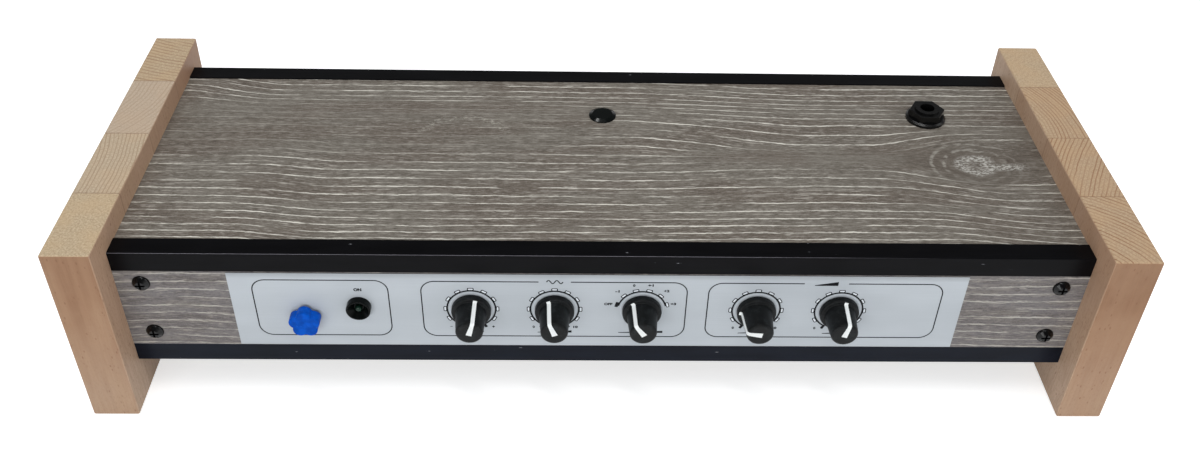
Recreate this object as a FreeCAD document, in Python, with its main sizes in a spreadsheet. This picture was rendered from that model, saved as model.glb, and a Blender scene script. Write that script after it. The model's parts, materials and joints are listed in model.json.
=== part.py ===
"""A table-top theremin: a laminate case between two beech cheeks, with its controls and circuit.

Millimetres. X runs to the player's right, Y away from the player and Z up. The origin is on the
table under the middle of the whole instrument.
"""
import FreeCAD, Part
import math
import os
from types import SimpleNamespace

import Sketcher
from FreeCAD import Placement, Rotation, Vector

DOCUMENT = FreeCAD.newDocument("Theremin")
SHEET = DOCUMENT.addObject("Spreadsheet::Sheet", "Sizes")
PIECES = []
LEFT, RIGHT = -1, 1
FRONT, BACK = -1, 1


# ---------------------------------------------------------------- sizes

class Size:
    """A number together with the spreadsheet formula that gives it."""

    def __init__(self, number, formula):
        self.number = float(number)
        self.formula = formula

    def __add__(self, other):
        other = as_size(other)
        return Size(self.number + other.number, f"({self.formula} + {other.formula})")

    def __sub__(self, other):
        other = as_size(other)
        return Size(self.number - other.number, f"({self.formula} - {other.formula})")

    def __mul__(self, other):
        other = as_size(other)
        return Size(self.number * other.number, f"({self.formula} * {other.formula})")

    def __truediv__(self, other):
        other = as_size(other)
        return Size(self.number / other.number, f"({self.formula} / {other.formula})")

    def __neg__(self):
        return self * -1

    def __radd__(self, other):
        return as_size(other) + self

    def __rsub__(self, other):
        return as_size(other) - self

    __rmul__ = __mul__


def as_size(value):
    """Take a plain number as a size too."""
    return value if isinstance(value, Size) else Size(value, f"({float(value)})")


size = SimpleNamespace()


def driving(**cells):
    """Write driving dimensions to the spreadsheet, one row each, and make them usable by name."""
    for alias, number in cells.items():
        row = len(vars(size)) + 1
        SHEET.set(f"A{row}", alias)
        SHEET.set(f"B{row}", str(number))
        SHEET.setAlias(f"B{row}", alias)
        setattr(size, alias, Size(number, f"Sizes.{alias}"))


# Case
driving(
    cheek_thickness=19, cheek_depth=162, cheek_height=87, cheek_easing=0.8,
    case_width=389, case_depth=137.8, case_height=58.1, case_lift=19.2, case_setback=13.5,
    board_thickness=8, profile_wall=0.6, profile_rounding=0.35,
    batten_width=20, batten_depth=18, web=3, bore_gap=0.1,
    label_length=296, label_height=39, label_thickness=0.3, label_shift=-2.3,
)
# Screws: heights are above the table
driving(
    screw_radius=1.7, screw_point_radius=0.7, screw_taper=2.5, screw_head_radius=3.55,
    screw_head_height=2.2, screw_head_rim=0.7, screw_dome_radius=1.8, screw_head_rounding=1,
    cross_length=3.8, cross_width=0.84, cross_depth=1.3, screw_inset=10.2,
    panel_screw_length=20, panel_screw_upper=62, panel_screw_lower=35.7,
    batten_screw_length=30, batten_screw_upper=54, batten_screw_lower=44,
    bottom_screw_length=13, bottom_screw_inset=3.6, bottom_screw_recess=2.6,
)
# Controls: places along the panel, height above the table and the pointer's turn at rest, in degrees
driving(
    control_height=49.2,
    tuning_x=-54.4, sensitivity_x=-20.7, octave_x=14.75, distance_x=61.5, volume_x=95.4,
    tuning_turn=16, sensitivity_turn=-21, octave_turn=-35, distance_turn=-82, volume_turn=15,
    power_x=-121.3, power_height=45,
    bush_radius=3.5, bush_reach=3, shaft_radius=3, running_gap=0.05, shaft_reach=12,
    washer_radius=5.3, washer_thickness=0.5, nut_flats=9, nut_thickness=1.8,
    pot_radius=8.25, pot_depth=9, pot_skin=0.85, pot_front_wall=2,
    wiper_clearance=0.4, wiper_thickness=1.4, wiper_gap=0.5, shaft_tail_share=0.6,
    switch_radius=12.5, switch_depth=16,
    knob_reach=15.2, knob_gap=0.5, knob_skirt_radius=8, knob_skirt_height=2.6,
    knob_foot_radius=6.3, knob_nose_radius=5.4, knob_rounding=1.2, knob_cavity_radius=5.6,
    knob_skirt_rounding=0.9, knob_foot_rounding=0.5, knob_bore_gap=0.3,
    pointer_width=1.6, pointer_rise=0.15, pointer_tail=0.8, pointer_tail_width=2.3, pointer_flare=4.2,
    star_valley_radius=5.1, star_lobe_radius=2.9, star_lobe_circle=3.5, star_rounding=0.6,
    star_gap=1.4, star_height=4.7, star_face=1.2,
    power_bush_radius=2.5, power_shaft_radius=1.5, power_nut_radius=3.9, power_nut_thickness=0.8,
    power_bush_proud=0.2,
)
# Lamp, plug and sockets
driving(
    lamp_x=-99.6, lamp_height=50.4, bezel_radius=4.95, bezel_reach=3.5, bezel_stem_radius=4,
    bezel_lip=0.7, bezel_floor=0.5, bezel_throat=0.35, bezel_rounding=0.3,
    led_radius=1.5, led_reach=2.9, led_rounding=1.4, led_leg_width=0.5,
    plug_y=100.2, plug_radius=6.15, plug_rise=1.3, plug_rim=0.5, plug_bevel=1.6, plug_wall=0.8,
    plug_stem_radius=4.93, plug_hole_radius=5, plug_stem_length=6.5,
    pitch_socket_x=149.3, pitch_socket_y=100.8, output_socket_x=-112, inlet_x=-150,
    plug_bore_radius=3.25, socket_bush_radius=5.5, socket_block=22, socket_flange_radius=9,
    socket_flange_thickness=1.8, socket_flange_rim=1.2, socket_flange_bevel=0.8,
    socket_nut_flats=14, socket_nut_thickness=3.2, socket_reach=5.8, nut_rounding=0.25,
    socket_recess_radius=12, socket_recess_depth=6, block_gap=1,
    inlet_radius=5.4, inlet_bore_radius=2.9, inlet_pin_radius=1.05, inlet_flange_radius=6.6,
    inlet_flange_thickness=1.6, inlet_depth=14, inlet_bore_depth=10, inlet_nut_thickness=2.4,
    inlet_nut_wall=2,
)
# Circuit board
driving(
    board_length=220, board_width=72, board_sheet=1.6, board_x=2, board_setback=31,
    standoff_height=8, standoff_radius=3, standoff_inset=5, standoff_screw_radius=1.3,
    board_screw_length=6, board_screw_head_radius=2.6, board_screw_rim=0.9, board_screw_head_height=1.8,
    coil_can=10, coil_can_height=13, coil_rounding=0.8, coil_core_radius=2.4, coil_core_depth=2,
    choke_radius=7, choke_height=15, choke_groove=1.2, choke_flange=1.5,
    pin_pitch=2.54, chip_width=6.4, chip_height=3.4, chip_lift=0.6, chip_pin_width=0.5, chip_pin_height=2.2,
    crimp_height=2.5, crimp_radius=0.6, crimp_offset=0.3,
    film_length=7.2, film_width=2.6, film_height=6.5,
    regulator_width=10, regulator_depth=3.2, regulator_height=9, regulator_lift=3,
    tab_thickness=1.3, tab_height=15.5, regulator_leg_width=0.7, regulator_leg_thickness=0.5,
)
# Connectors and wires: entries are measured from the board's front edge, lugs from their own axes
driving(
    connector_length=15, connector_width=5, connector_height=7, connector_inset=2,
    power_entry=19, cheek_entry=55.5, pitch_entry=56, output_entry_x=-92,
    wire_radius=0.6, wire_entry_height=42, lamp_wire_shift=4,
    lug_setback=7, lug_thickness=0.6, lug_length=4, lug_width=1.8, lug_root=1.2,
    socket_lug_offset=7, socket_lug_length=5, socket_lug_thickness=0.8, socket_lug_width=4,
    inlet_lug_offset=2.5, inlet_lug_length=4, inlet_lug_thickness=0.6, inlet_lug_width=3,
    led_body_length=3, led_leg_length=9, led_leg_offset=0.9,
)

size.profile_outer = size.board_thickness + 2 * size.profile_wall
size.knob_overhang = size.knob_reach - size.case_setback
size.front_edge = (size.knob_overhang - size.cheek_depth) / 2
size.panel_y = size.front_edge + size.case_setback
size.back_y = size.panel_y + size.case_depth
size.case_top = size.case_lift + size.case_height
size.top_surface = size.case_top - size.profile_wall
size.inner_floor = size.case_lift + size.profile_wall + size.board_thickness
size.half_width = size.case_width / 2
size.pocket_depth = size.board_thickness - size.web

# The three solder lugs under a control's housing, across its axis
LUG_OFFSETS = (-5, 0, 5)

# Each pointer knob: where it stands and how far its pointer is turned clockwise from upright
CONTROLS = {
    "tuning": (size.tuning_x, size.tuning_turn),
    "sensitivity": (size.sensitivity_x, size.sensitivity_turn),
    "octave": (size.octave_x, size.octave_turn),
    "distance": (size.distance_x, size.distance_turn),
    "volume": (size.volume_x, size.volume_turn),
}


# ---------------------------------------------------------------- building helpers

def bind(thing, path, value):
    """Tie a property, or one of a sketch's constraints, to its formula."""
    thing.setExpression(path, as_size(value).formula)


def new_body(name, keep=True):
    """A PartDesign body; a kept one is a sub-part of the instrument."""
    body = DOCUMENT.addObject("PartDesign::Body", name)
    body.Label = name
    if keep:
        PIECES.append(body)
    return body


def sketch(body, role, along=0):
    """A sketch on one of the body's origin planes, shifted along the plane's normal."""
    plane = next(feature for feature in body.Origin.OriginFeatures if feature.Role == role)
    drawn = body.newObject("Sketcher::SketchObject", f"{body.Name}_sketch")
    drawn.AttachmentSupport = [(plane, "")]
    drawn.MapMode = "FlatFace"
    bind(drawn, ".AttachmentOffset.Base.z", along)
    return drawn


def constrain(drawn, kind, value, *elements):
    """Add one dimension to a sketch and tie it to its formula."""
    number = drawn.addConstraint(Sketcher.Constraint(kind, *elements, as_size(value).number))
    bind(drawn, f"Constraints[{number}]", value)


def hold(drawn, geometry, point, across, up):
    """Fix a point of the sketch by its distances from the sketch's origin."""
    constrain(drawn, "DistanceX", across, -1, 1, geometry, point)
    constrain(drawn, "DistanceY", up, -1, 1, geometry, point)


def outline(drawn, corners):
    """A closed outline of straight edges through the corners."""
    corners = [(as_size(across), as_size(up)) for across, up in corners]
    points = [Vector(across.number, up.number, 0) for across, up in corners]
    first = drawn.GeometryCount
    for start, end in zip(points, points[1:] + points[:1]):
        drawn.addGeometry(Part.LineSegment(start, end), False)
    for index, (across, up) in enumerate(corners):
        before = first + (index - 1) % len(corners)
        drawn.addConstraint(Sketcher.Constraint("Coincident", before, 2, first + index, 1))
        hold(drawn, first + index, 1, across, up)


def rectangle(drawn, left, low, right, high):
    outline(drawn, [(left, low), (right, low), (right, high), (left, high)])


def circle(drawn, across, up, radius):
    across, up, radius = as_size(across), as_size(up), as_size(radius)
    centre = Vector(across.number, up.number, 0)
    number = drawn.addGeometry(Part.Circle(centre, Vector(0, 0, 1), radius.number), False)
    hold(drawn, number, 3, across, up)
    constrain(drawn, "Radius", radius, number)


def pad(body, drawn, length, forward=True, both=False):
    """Grow the sketch along its normal, against it, or half each way."""
    feature = body.newObject("PartDesign::Pad", f"{body.Name}_pad")
    feature.Profile = drawn
    feature.Reversed = not forward
    if both:
        feature.SideType = "Symmetric"
    bind(feature, "Length", length)
    return feature


def pocket(body, drawn, depth, forward):
    """Cut the sketch into the body along its normal, or against it."""
    DOCUMENT.recompute()
    before = body.Shape.Volume
    feature = body.newObject("PartDesign::Pocket", f"{body.Name}_pocket")
    feature.Profile = drawn
    feature.Reversed = forward
    bind(feature, "Length", depth)
    DOCUMENT.recompute()
    if body.Shape.Volume >= before:
        raise RuntimeError(f"a pocket of {body.Label} cuts nothing")
    return feature


def revolve(body, drawn, axis):
    """Turn the sketch once round its own horizontal or vertical axis."""
    feature = body.newObject("PartDesign::Revolution", f"{body.Name}_revolution")
    feature.Profile = drawn
    feature.ReferenceAxis = (drawn, [axis])
    feature.Angle = 360
    return feature


def soften(body, radius, wanted):
    """Round the edges of the body's last feature that the test picks."""
    DOCUMENT.recompute()
    last = body.Tip
    names = [f"Edge{number}" for number, edge in enumerate(last.Shape.Edges, start=1) if wanted(edge)]
    feature = body.newObject("PartDesign::Fillet", f"{body.Name}_fillet")
    feature.Base = (last, names)
    bind(feature, "Radius", radius)
    return feature


def near(value, target, within=0.01):
    return abs(value - as_size(target).number) < within


def rim_at(reach, radius):
    """Picks the circular edge of a control's piece that lies at this reach and radius."""
    def wanted(edge):
        is_round = isinstance(edge.Curve, Part.Circle)
        return is_round and near(edge.Curve.Radius, radius) and near(edge.Curve.Center.y, -reach)
    return wanted


def place(thing, x, y, z, rotation=Rotation()):
    """Stand a finished piece at its place, tied to the spreadsheet."""
    thing.Placement = Placement(Vector(0, 0, 0), rotation)
    for letter, value in zip("xyz", (x, y, z)):
        bind(thing, f".Placement.Base.{letter}", value)


def turned(name, section, keep=True):
    """A piece turned about a control's axis; the section lists (reach in front of the panel, radius)."""
    body = new_body(name, keep)
    drawn = sketch(body, "YZ_Plane")
    outline(drawn, [(-as_size(reach), radius) for reach, radius in section])
    revolve(body, drawn, "H_Axis")
    return body


def upright(name, section, keep=True):
    """A piece turned about its own Z axis; the section lists (radius, height)."""
    body = new_body(name, keep)
    drawn = sketch(body, "XZ_Plane")
    outline(drawn, section)
    revolve(body, drawn, "V_Axis")
    return body


def group(name, solids):
    """One node that holds several separate solids."""
    node = DOCUMENT.addObject("Part::Feature", name)
    node.Label = name
    node.Shape = Part.makeCompound(solids)
    node.Placement = Placement()
    PIECES.append(node)
    return node


def copies(master, placements):
    """The master body's solid, once for each placement."""
    DOCUMENT.recompute()
    solids = []
    for placement in placements:
        solid = master.Shape.copy()
        solid.Placement = placement * master.Placement
        solids.append(solid)
    return solids


def at(x, y, z, rotation=Rotation()):
    return Placement(Vector(*(as_size(value).number for value in (x, y, z))), rotation)


def facing(direction):
    """The rotation that turns +Z towards a direction."""
    return Rotation(Vector(0, 0, 1), Vector(*direction))


def hexagon(drawn, flats):
    """A hexagon about the sketch's origin, from its width across flats."""
    half, corner = flats / 2, flats / math.sqrt(3)
    outline(drawn, [
        (corner, 0), (corner / 2, half), (-corner / 2, half),
        (-corner, 0), (-corner / 2, -half), (corner / 2, -half),
    ])


def make_nut(name, flats, thickness, hole_radius, start):
    """A hexagon nut on the Z axis, from the start height up, with its upper corners taken off."""
    body = new_body(name, keep=False)
    drawn = sketch(body, "XY_Plane", start)
    hexagon(drawn, flats)
    pad(body, drawn, thickness)
    hole = sketch(body, "XY_Plane", start)
    circle(hole, 0, 0, hole_radius)
    pocket(body, hole, thickness, forward=True)
    top = (start + thickness).number
    soften(body, size.nut_rounding, lambda edge: near(edge.BoundBox.ZMin, top)
           and near(edge.BoundBox.ZMax, top) and not isinstance(edge.Curve, Part.Circle))
    return body


# ---------------------------------------------------------------- case

def make_cheek(name, side):
    """One beech cheek, its edges eased all round."""
    body = new_body(name)
    drawn = sketch(body, "XY_Plane")
    inner, outer = size.half_width, size.half_width + size.cheek_thickness
    low, high = (inner, outer) if side == RIGHT else (-outer, -inner)
    rectangle(drawn, low, size.front_edge, high, size.front_edge + size.cheek_depth)
    pad(body, drawn, size.cheek_height)
    soften(body, size.cheek_easing, lambda edge: True)
    for y, z in batten_screw_spots():
        hole = sketch(body, "YZ_Plane", side * inner)
        circle(hole, y, z, size.screw_radius + size.running_gap)
        pocket(body, hole, size.batten_screw_length - size.batten_width + 1, forward=side == RIGHT)
    return body


def make_left_cheek():
    """The left cheek also holds the volume antenna's socket, sunk in its outer face."""
    body = make_cheek("left_cheek", LEFT)
    outer = size.half_width + size.cheek_thickness
    y, z = size.front_edge + size.cheek_depth / 2, size.case_lift + size.case_height / 2
    recess = sketch(body, "YZ_Plane", -outer)
    circle(recess, y, z, size.socket_recess_radius)
    pocket(body, recess, size.socket_recess_depth, forward=True)
    hole = sketch(body, "YZ_Plane", -outer)
    circle(hole, y, z, size.socket_bush_radius + size.bore_gap)
    pocket(body, hole, size.cheek_thickness, forward=True)
    inside = sketch(body, "YZ_Plane", -size.half_width)
    half = size.socket_block / 2 + size.block_gap
    rectangle(inside, y - half, z - half, y + half, z + half)
    pocket(body, inside, size.cheek_thickness - size.socket_recess_depth - size.web, forward=False)


def make_flat_board(name, low):
    """A laminate board between the edge profiles' webs, lying at this height."""
    body = new_body(name)
    drawn = sketch(body, "XY_Plane", low)
    rectangle(drawn, -size.half_width, size.panel_y + size.profile_wall,
              size.half_width, size.back_y - size.profile_wall)
    pad(body, drawn, size.board_thickness)
    return body


def make_top_board():
    underside = size.top_surface - size.board_thickness
    body = make_flat_board("top_board", underside)
    holes = sketch(body, "XY_Plane", underside)
    circle(holes, 0, size.panel_y + size.plug_y, size.plug_hole_radius)
    circle(holes, size.pitch_socket_x, size.panel_y + size.pitch_socket_y,
           size.socket_bush_radius + size.bore_gap)
    pocket(body, holes, size.board_thickness, forward=True)
    seat = sketch(body, "XY_Plane", underside)
    half = size.socket_block / 2 + size.block_gap
    x, y = size.pitch_socket_x, size.panel_y + size.pitch_socket_y
    rectangle(seat, x - half, y - half, x + half, y + half)
    pocket(body, seat, size.pocket_depth, forward=True)


def make_bottom_board():
    underside = size.case_lift + size.profile_wall
    body = make_flat_board("bottom_board", underside)
    holes = sketch(body, "XY_Plane", underside)
    recesses = sketch(body, "XY_Plane", underside)
    for x, y in bottom_screw_spots():
        circle(holes, x, y, size.screw_radius + size.running_gap)
        circle(recesses, x, y, size.screw_head_radius + size.bore_gap)
    pocket(body, holes, size.board_thickness, forward=True)
    pocket(body, recesses, size.bottom_screw_recess, forward=True)


def make_upright_board(name, side):
    """The front or rear board, flush with the edge profiles above and below it."""
    body = new_body(name)
    face = size.panel_y if side == FRONT else size.back_y
    drawn = sketch(body, "XZ_Plane", -face)
    rectangle(drawn, -size.half_width, size.case_lift + size.profile_outer,
              size.half_width, size.case_top - size.profile_outer)
    pad(body, drawn, size.board_thickness, forward=side == BACK)
    holes = sketch(body, "XZ_Plane", -face)
    for x, z in panel_screw_spots():
        circle(holes, x, z, size.screw_radius + size.running_gap)
    pocket(body, holes, size.board_thickness, forward=side == BACK)
    return body


def make_front_board():
    """The front board is bored for the controls and thinned behind each of them."""
    body = make_upright_board("front_board", FRONT)
    holes = sketch(body, "XZ_Plane", -size.panel_y)
    panel_holes(holes)
    pocket(body, holes, size.board_thickness, forward=False)
    seats = sketch(body, "XZ_Plane", -(size.panel_y + size.board_thickness))
    for name, (x, _) in CONTROLS.items():
        circle(seats, x, size.control_height, housing_of(name)[0] + 1.5)
    circle(seats, size.power_x, size.power_height, size.pot_radius + 1.5)
    circle(seats, size.lamp_x, size.lamp_height, size.bezel_stem_radius + 2)
    pocket(body, seats, size.pocket_depth, forward=True)


def make_rear_board():
    """The rear board carries the output socket and the DC inlet."""
    body = make_upright_board("rear_board", BACK)
    holes = sketch(body, "XZ_Plane", -size.back_y)
    circle(holes, size.output_socket_x, size.control_height, size.socket_bush_radius + size.bore_gap)
    circle(holes, size.inlet_x, size.control_height, size.inlet_radius + size.bore_gap)
    pocket(body, holes, size.board_thickness, forward=True)
    seats = sketch(body, "XZ_Plane", -(size.back_y - size.board_thickness))
    half = size.socket_block / 2 + size.block_gap
    rectangle(seats, size.output_socket_x - half, size.control_height - half,
              size.output_socket_x + half, size.control_height + half)
    circle(seats, size.inlet_x, size.control_height, size.socket_recess_radius)
    pocket(body, seats, size.pocket_depth, forward=False)


def panel_holes(drawn):
    """The holes that the label and the front board share."""
    for x, _ in CONTROLS.values():
        circle(drawn, x, size.control_height, size.bush_radius + size.bore_gap)
    circle(drawn, size.power_x, size.power_height, size.power_bush_radius + size.bore_gap)
    circle(drawn, size.lamp_x, size.lamp_height, size.bezel_stem_radius + size.bore_gap)


def make_label():
    body = new_body("front_label")
    middle = (size.case_lift + size.case_top) / 2
    drawn = sketch(body, "XZ_Plane", -size.panel_y)
    rectangle(drawn, size.label_shift - size.label_length / 2, middle - size.label_height / 2,
              size.label_shift + size.label_length / 2, middle + size.label_height / 2)
    pad(body, drawn, size.label_thickness)
    holes = sketch(body, "XZ_Plane", -size.panel_y)
    panel_holes(holes)
    pocket(body, holes, size.label_thickness, forward=True)


def make_edge_profile(name, side, low):
    """A black U section that caps one long edge of the top or bottom board."""
    body = new_body(name)
    face, inward = (size.panel_y, 1) if side == FRONT else (size.back_y, -1)
    lip, wall = face + inward * size.profile_outer, face + inward * size.profile_wall
    high = low + size.profile_outer
    drawn = sketch(body, "YZ_Plane")
    outline(drawn, [
        (face, low), (face, high), (lip, high), (lip, high - size.profile_wall),
        (wall, high - size.profile_wall), (wall, low + size.profile_wall),
        (lip, low + size.profile_wall), (lip, low),
    ])
    pad(body, drawn, size.case_width, both=True)
    soften(body, size.profile_rounding, lambda edge: near(edge.BoundBox.YMin, face)
           and near(edge.BoundBox.YMax, face) and edge.BoundBox.XLength > 1)


def batten_x(side):
    """The batten's faces: against the cheek and towards the middle of the case."""
    return side * size.half_width, side * (size.half_width - size.batten_width)


def batten_y(end):
    """The batten's low and high Y."""
    if end == FRONT:
        low = size.panel_y + size.board_thickness
    else:
        low = size.back_y - size.board_thickness - size.batten_depth
    return low, low + size.batten_depth


def panel_screw_spots():
    return [(side * (size.half_width - size.screw_inset), z) for side in (LEFT, RIGHT)
            for z in (size.panel_screw_upper, size.panel_screw_lower)]


def batten_screw_spots():
    spots = []
    for end in (FRONT, BACK):
        low, high = batten_y(end)
        spots += [((low + high) / 2, z) for z in (size.batten_screw_upper, size.batten_screw_lower)]
    return spots


def bottom_screw_spots():
    spots = []
    for side in (LEFT, RIGHT):
        for end in (FRONT, BACK):
            low, high = batten_y(end)
            y = high - size.bottom_screw_inset if end == FRONT else low + size.bottom_screw_inset
            spots.append((side * (size.half_width - size.batten_width / 2), y))
    return spots


def make_batten(name, side, end):
    """A corner batten, drilled for the screws that hold it, the upright board and the bottom."""
    body = new_body(name)
    cheek_face, inner_face = batten_x(side)
    low, high = batten_y(end)
    floor, ceiling = size.case_lift + size.profile_outer, size.case_top - size.profile_outer
    drawn = sketch(body, "XY_Plane", floor)
    left, right = (cheek_face, inner_face) if side == LEFT else (inner_face, cheek_face)
    rectangle(drawn, left, low, right, high)
    pad(body, drawn, ceiling - floor)
    face = low if end == FRONT else high
    drill = size.screw_radius + size.running_gap
    front_holes = sketch(body, "XZ_Plane", -face)
    for x, z in panel_screw_spots():
        if (x.number > 0) == (side == RIGHT):
            circle(front_holes, x, z, drill)
    pocket(body, front_holes, size.panel_screw_length - size.board_thickness + 1, forward=end == BACK)
    side_holes = sketch(body, "YZ_Plane", inner_face)
    for y, z in batten_screw_spots():
        if low.number < y.number < high.number:
            circle(side_holes, y, z, drill)
    pocket(body, side_holes, size.batten_width, forward=side == RIGHT)
    foot_hole = sketch(body, "XY_Plane", floor)
    for x, y in bottom_screw_spots():
        if (x.number > 0) == (side == RIGHT) and low.number < y.number < high.number:
            circle(foot_hole, x, y, drill)
    pocket(body, foot_hole, size.bottom_screw_length, forward=True)


def make_screw_master(name, length):
    """A pan-head wood screw on the Z axis, its head above the origin, with a cross recess."""
    body = upright(name, [
        (0, -length), (size.screw_point_radius, -length), (size.screw_radius, size.screw_taper - length),
        (size.screw_radius, 0), (size.screw_head_radius, 0), (size.screw_head_radius, size.screw_head_rim),
        (size.screw_dome_radius, size.screw_head_height), (0, size.screw_head_height),
    ], keep=False)
    soften(body, size.screw_head_rounding, lambda edge: isinstance(edge.Curve, Part.Circle)
           and near(edge.Curve.Radius, size.screw_head_radius)
           and near(edge.Curve.Center.z, size.screw_head_rim))
    arm, half = size.cross_length / 2, size.cross_width / 2
    for wide, tall in ((arm, half), (half, arm)):
        slot = sketch(body, "XY_Plane", size.screw_head_height)
        rectangle(slot, -wide, -tall, wide, tall)
        pocket(body, slot, size.cross_depth, forward=False)
    return body


def make_screws():
    panel = make_screw_master("panel_screw", size.panel_screw_length)
    group("panel_screws", copies(panel, [
        at(x, y, z, facing((0, end, 0))) for end, y in ((FRONT, size.panel_y), (BACK, size.back_y))
        for x, z in panel_screw_spots()]))
    batten = make_screw_master("batten_screw", size.batten_screw_length)
    group("batten_screws", copies(batten, [
        at(batten_x(side)[1], y, z, facing((-side, 0, 0)))
        for side in (LEFT, RIGHT) for y, z in batten_screw_spots()]))
    bottom = make_screw_master("bottom_screw", size.bottom_screw_length)
    seat = size.case_lift + size.profile_wall + size.bottom_screw_recess
    group("bottom_board_screws", copies(bottom, [
        at(x, y, seat, facing((0, 0, -1))) for x, y in bottom_screw_spots()]))


def make_case():
    make_left_cheek()
    make_cheek("right_cheek", RIGHT)
    make_top_board()
    make_bottom_board()
    make_front_board()
    make_rear_board()
    make_label()
    top, bottom = size.case_top - size.profile_outer, size.case_lift
    for end_name, end in (("front", FRONT), ("rear", BACK)):
        make_edge_profile(f"top_{end_name}_edge_profile", end, top)
        make_edge_profile(f"bottom_{end_name}_edge_profile", end, bottom)
        for side_name, side in (("left", LEFT), ("right", RIGHT)):
            make_batten(f"{end_name}_{side_name}_batten", side, end)
    make_screws()


# ---------------------------------------------------------------- controls

def chord_reach(radius, offset):
    """How far below a circle's middle its edge lies, at this distance to the side."""
    return Size(math.sqrt(radius.number ** 2 - offset ** 2), f"sqrt({radius.formula}^2 - {offset ** 2})")


def make_rotary(name, radius, depth, bush_radius, bush_reach, shaft_radius, x, z):
    """A potentiometer's or switch's housing: hollow can, bush and three solder lugs."""
    back = -size.web - depth
    cavity_back = back + size.pot_skin
    cavity_front = -size.web - size.pot_front_wall
    bore = shaft_radius + size.running_gap
    body = turned(name, [
        (bush_reach, bore), (bush_reach, bush_radius), (-size.web, bush_radius),
        (-size.web, radius), (back, radius), (back, 0), (cavity_back, 0),
        (cavity_back, radius - size.pot_skin), (cavity_front, radius - size.pot_skin),
        (cavity_front, bore),
    ])
    lugs = sketch(body, "XZ_Plane", -size.web - size.lug_setback)
    half = size.lug_width / 2
    for offset in LUG_OFFSETS:
        root = size.lug_root - chord_reach(radius, offset)
        rectangle(lugs, offset - half, -radius - size.lug_length, offset + half, root)
    pad(body, lugs, size.lug_thickness, forward=False)
    place(body, x, size.panel_y, z)
    return body


def make_shaft(name, radius, reach, housing_radius, housing_depth, x, z, turn):
    """The turning shaft with the wiper carrier that rides inside the housing."""
    wiper_front = -size.web - size.pot_front_wall - size.wiper_clearance
    wiper_back = wiper_front - size.wiper_thickness
    wiper_radius = housing_radius - size.pot_skin - size.wiper_gap
    tail = -size.web - housing_depth + size.pot_skin + size.wiper_gap
    tail_radius = radius * size.shaft_tail_share
    body = turned(name, [
        (reach, 0), (reach, radius), (wiper_front, radius), (wiper_front, wiper_radius),
        (wiper_back, wiper_radius), (wiper_back, tail_radius), (tail, tail_radius), (tail, 0),
    ])
    place(body, x, size.panel_y, z, Rotation(Vector(0, 1, 0), turn))
    return body


def make_pointer_knob(name, x, turn):
    """A skirted pointer knob with a raised pointer up its side and across its nose."""
    base = size.label_thickness + size.knob_gap
    skirt_top = base + size.knob_skirt_height
    nose = size.knob_reach - size.pointer_rise
    cavity_top, bore_top = size.bush_reach + size.knob_bore_gap, size.shaft_reach + size.knob_bore_gap
    body = turned(name, [
        (base, size.knob_cavity_radius), (base, size.knob_skirt_radius),
        (skirt_top, size.knob_skirt_radius), (skirt_top, size.knob_foot_radius),
        (nose, size.knob_nose_radius), (nose, 0), (bore_top, 0),
        (bore_top, size.shaft_radius), (cavity_top, size.shaft_radius),
        (cavity_top, size.knob_cavity_radius),
    ])
    soften(body, size.knob_rounding, rim_at(nose, size.knob_nose_radius))
    soften(body, size.knob_skirt_rounding, rim_at(skirt_top, size.knob_skirt_radius))
    soften(body, size.knob_foot_rounding, rim_at(skirt_top, size.knob_foot_radius))
    # The pointer's side view: up the cone just proud of it, over the nose, and back inside the knob
    rise, tail = size.pointer_rise, size.pointer_tail
    rib = sketch(body, "YZ_Plane")
    outline(rib, [(-reach, radius) for reach, radius in (
        (skirt_top - 0.2, size.knob_foot_radius - 0.6),
        (skirt_top - 0.2, size.knob_foot_radius + rise),
        (nose - 1, size.knob_nose_radius + rise),
        (nose - 0.35, size.knob_nose_radius - 0.2 + rise),
        (size.knob_reach, size.knob_nose_radius - 1),
        (size.knob_reach, -tail), (nose - 0.6, -tail),
        (nose - 0.6, size.knob_nose_radius - 1.8), (nose - 2, size.knob_nose_radius - 0.6))])
    pad(body, rib, size.pointer_width, both=True)
    # Across the nose the pointer widens towards its tail
    narrow, wide = size.pointer_width / 2, size.pointer_tail_width / 2
    flare = sketch(body, "XZ_Plane", nose - 0.5)
    outline(flare, [(-narrow, size.pointer_flare), (-wide, -tail), (wide, -tail), (narrow, size.pointer_flare)])
    pad(body, flare, size.knob_reach - nose + 0.5)
    place(body, x, size.panel_y, size.control_height, Rotation(Vector(0, 1, 0), turn))


def housing_of(name):
    """The radius and depth of a control's housing: the octave control is a rotary switch."""
    if name == "octave":
        return size.switch_radius, size.switch_depth
    return size.pot_radius, size.pot_depth


def make_control(name, x, turn):
    radius, depth = housing_of(name)
    housing = "switch" if name == "octave" else "pot"
    z = size.control_height
    make_rotary(f"{name}_{housing}", radius, depth, size.bush_radius, size.bush_reach,
                size.shaft_radius, x, z)
    make_shaft(f"{name}_shaft", size.shaft_radius, size.shaft_reach, radius, depth, x, z, turn.number)
    make_pointer_knob(f"{name}_knob", x, turn.number)


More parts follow.
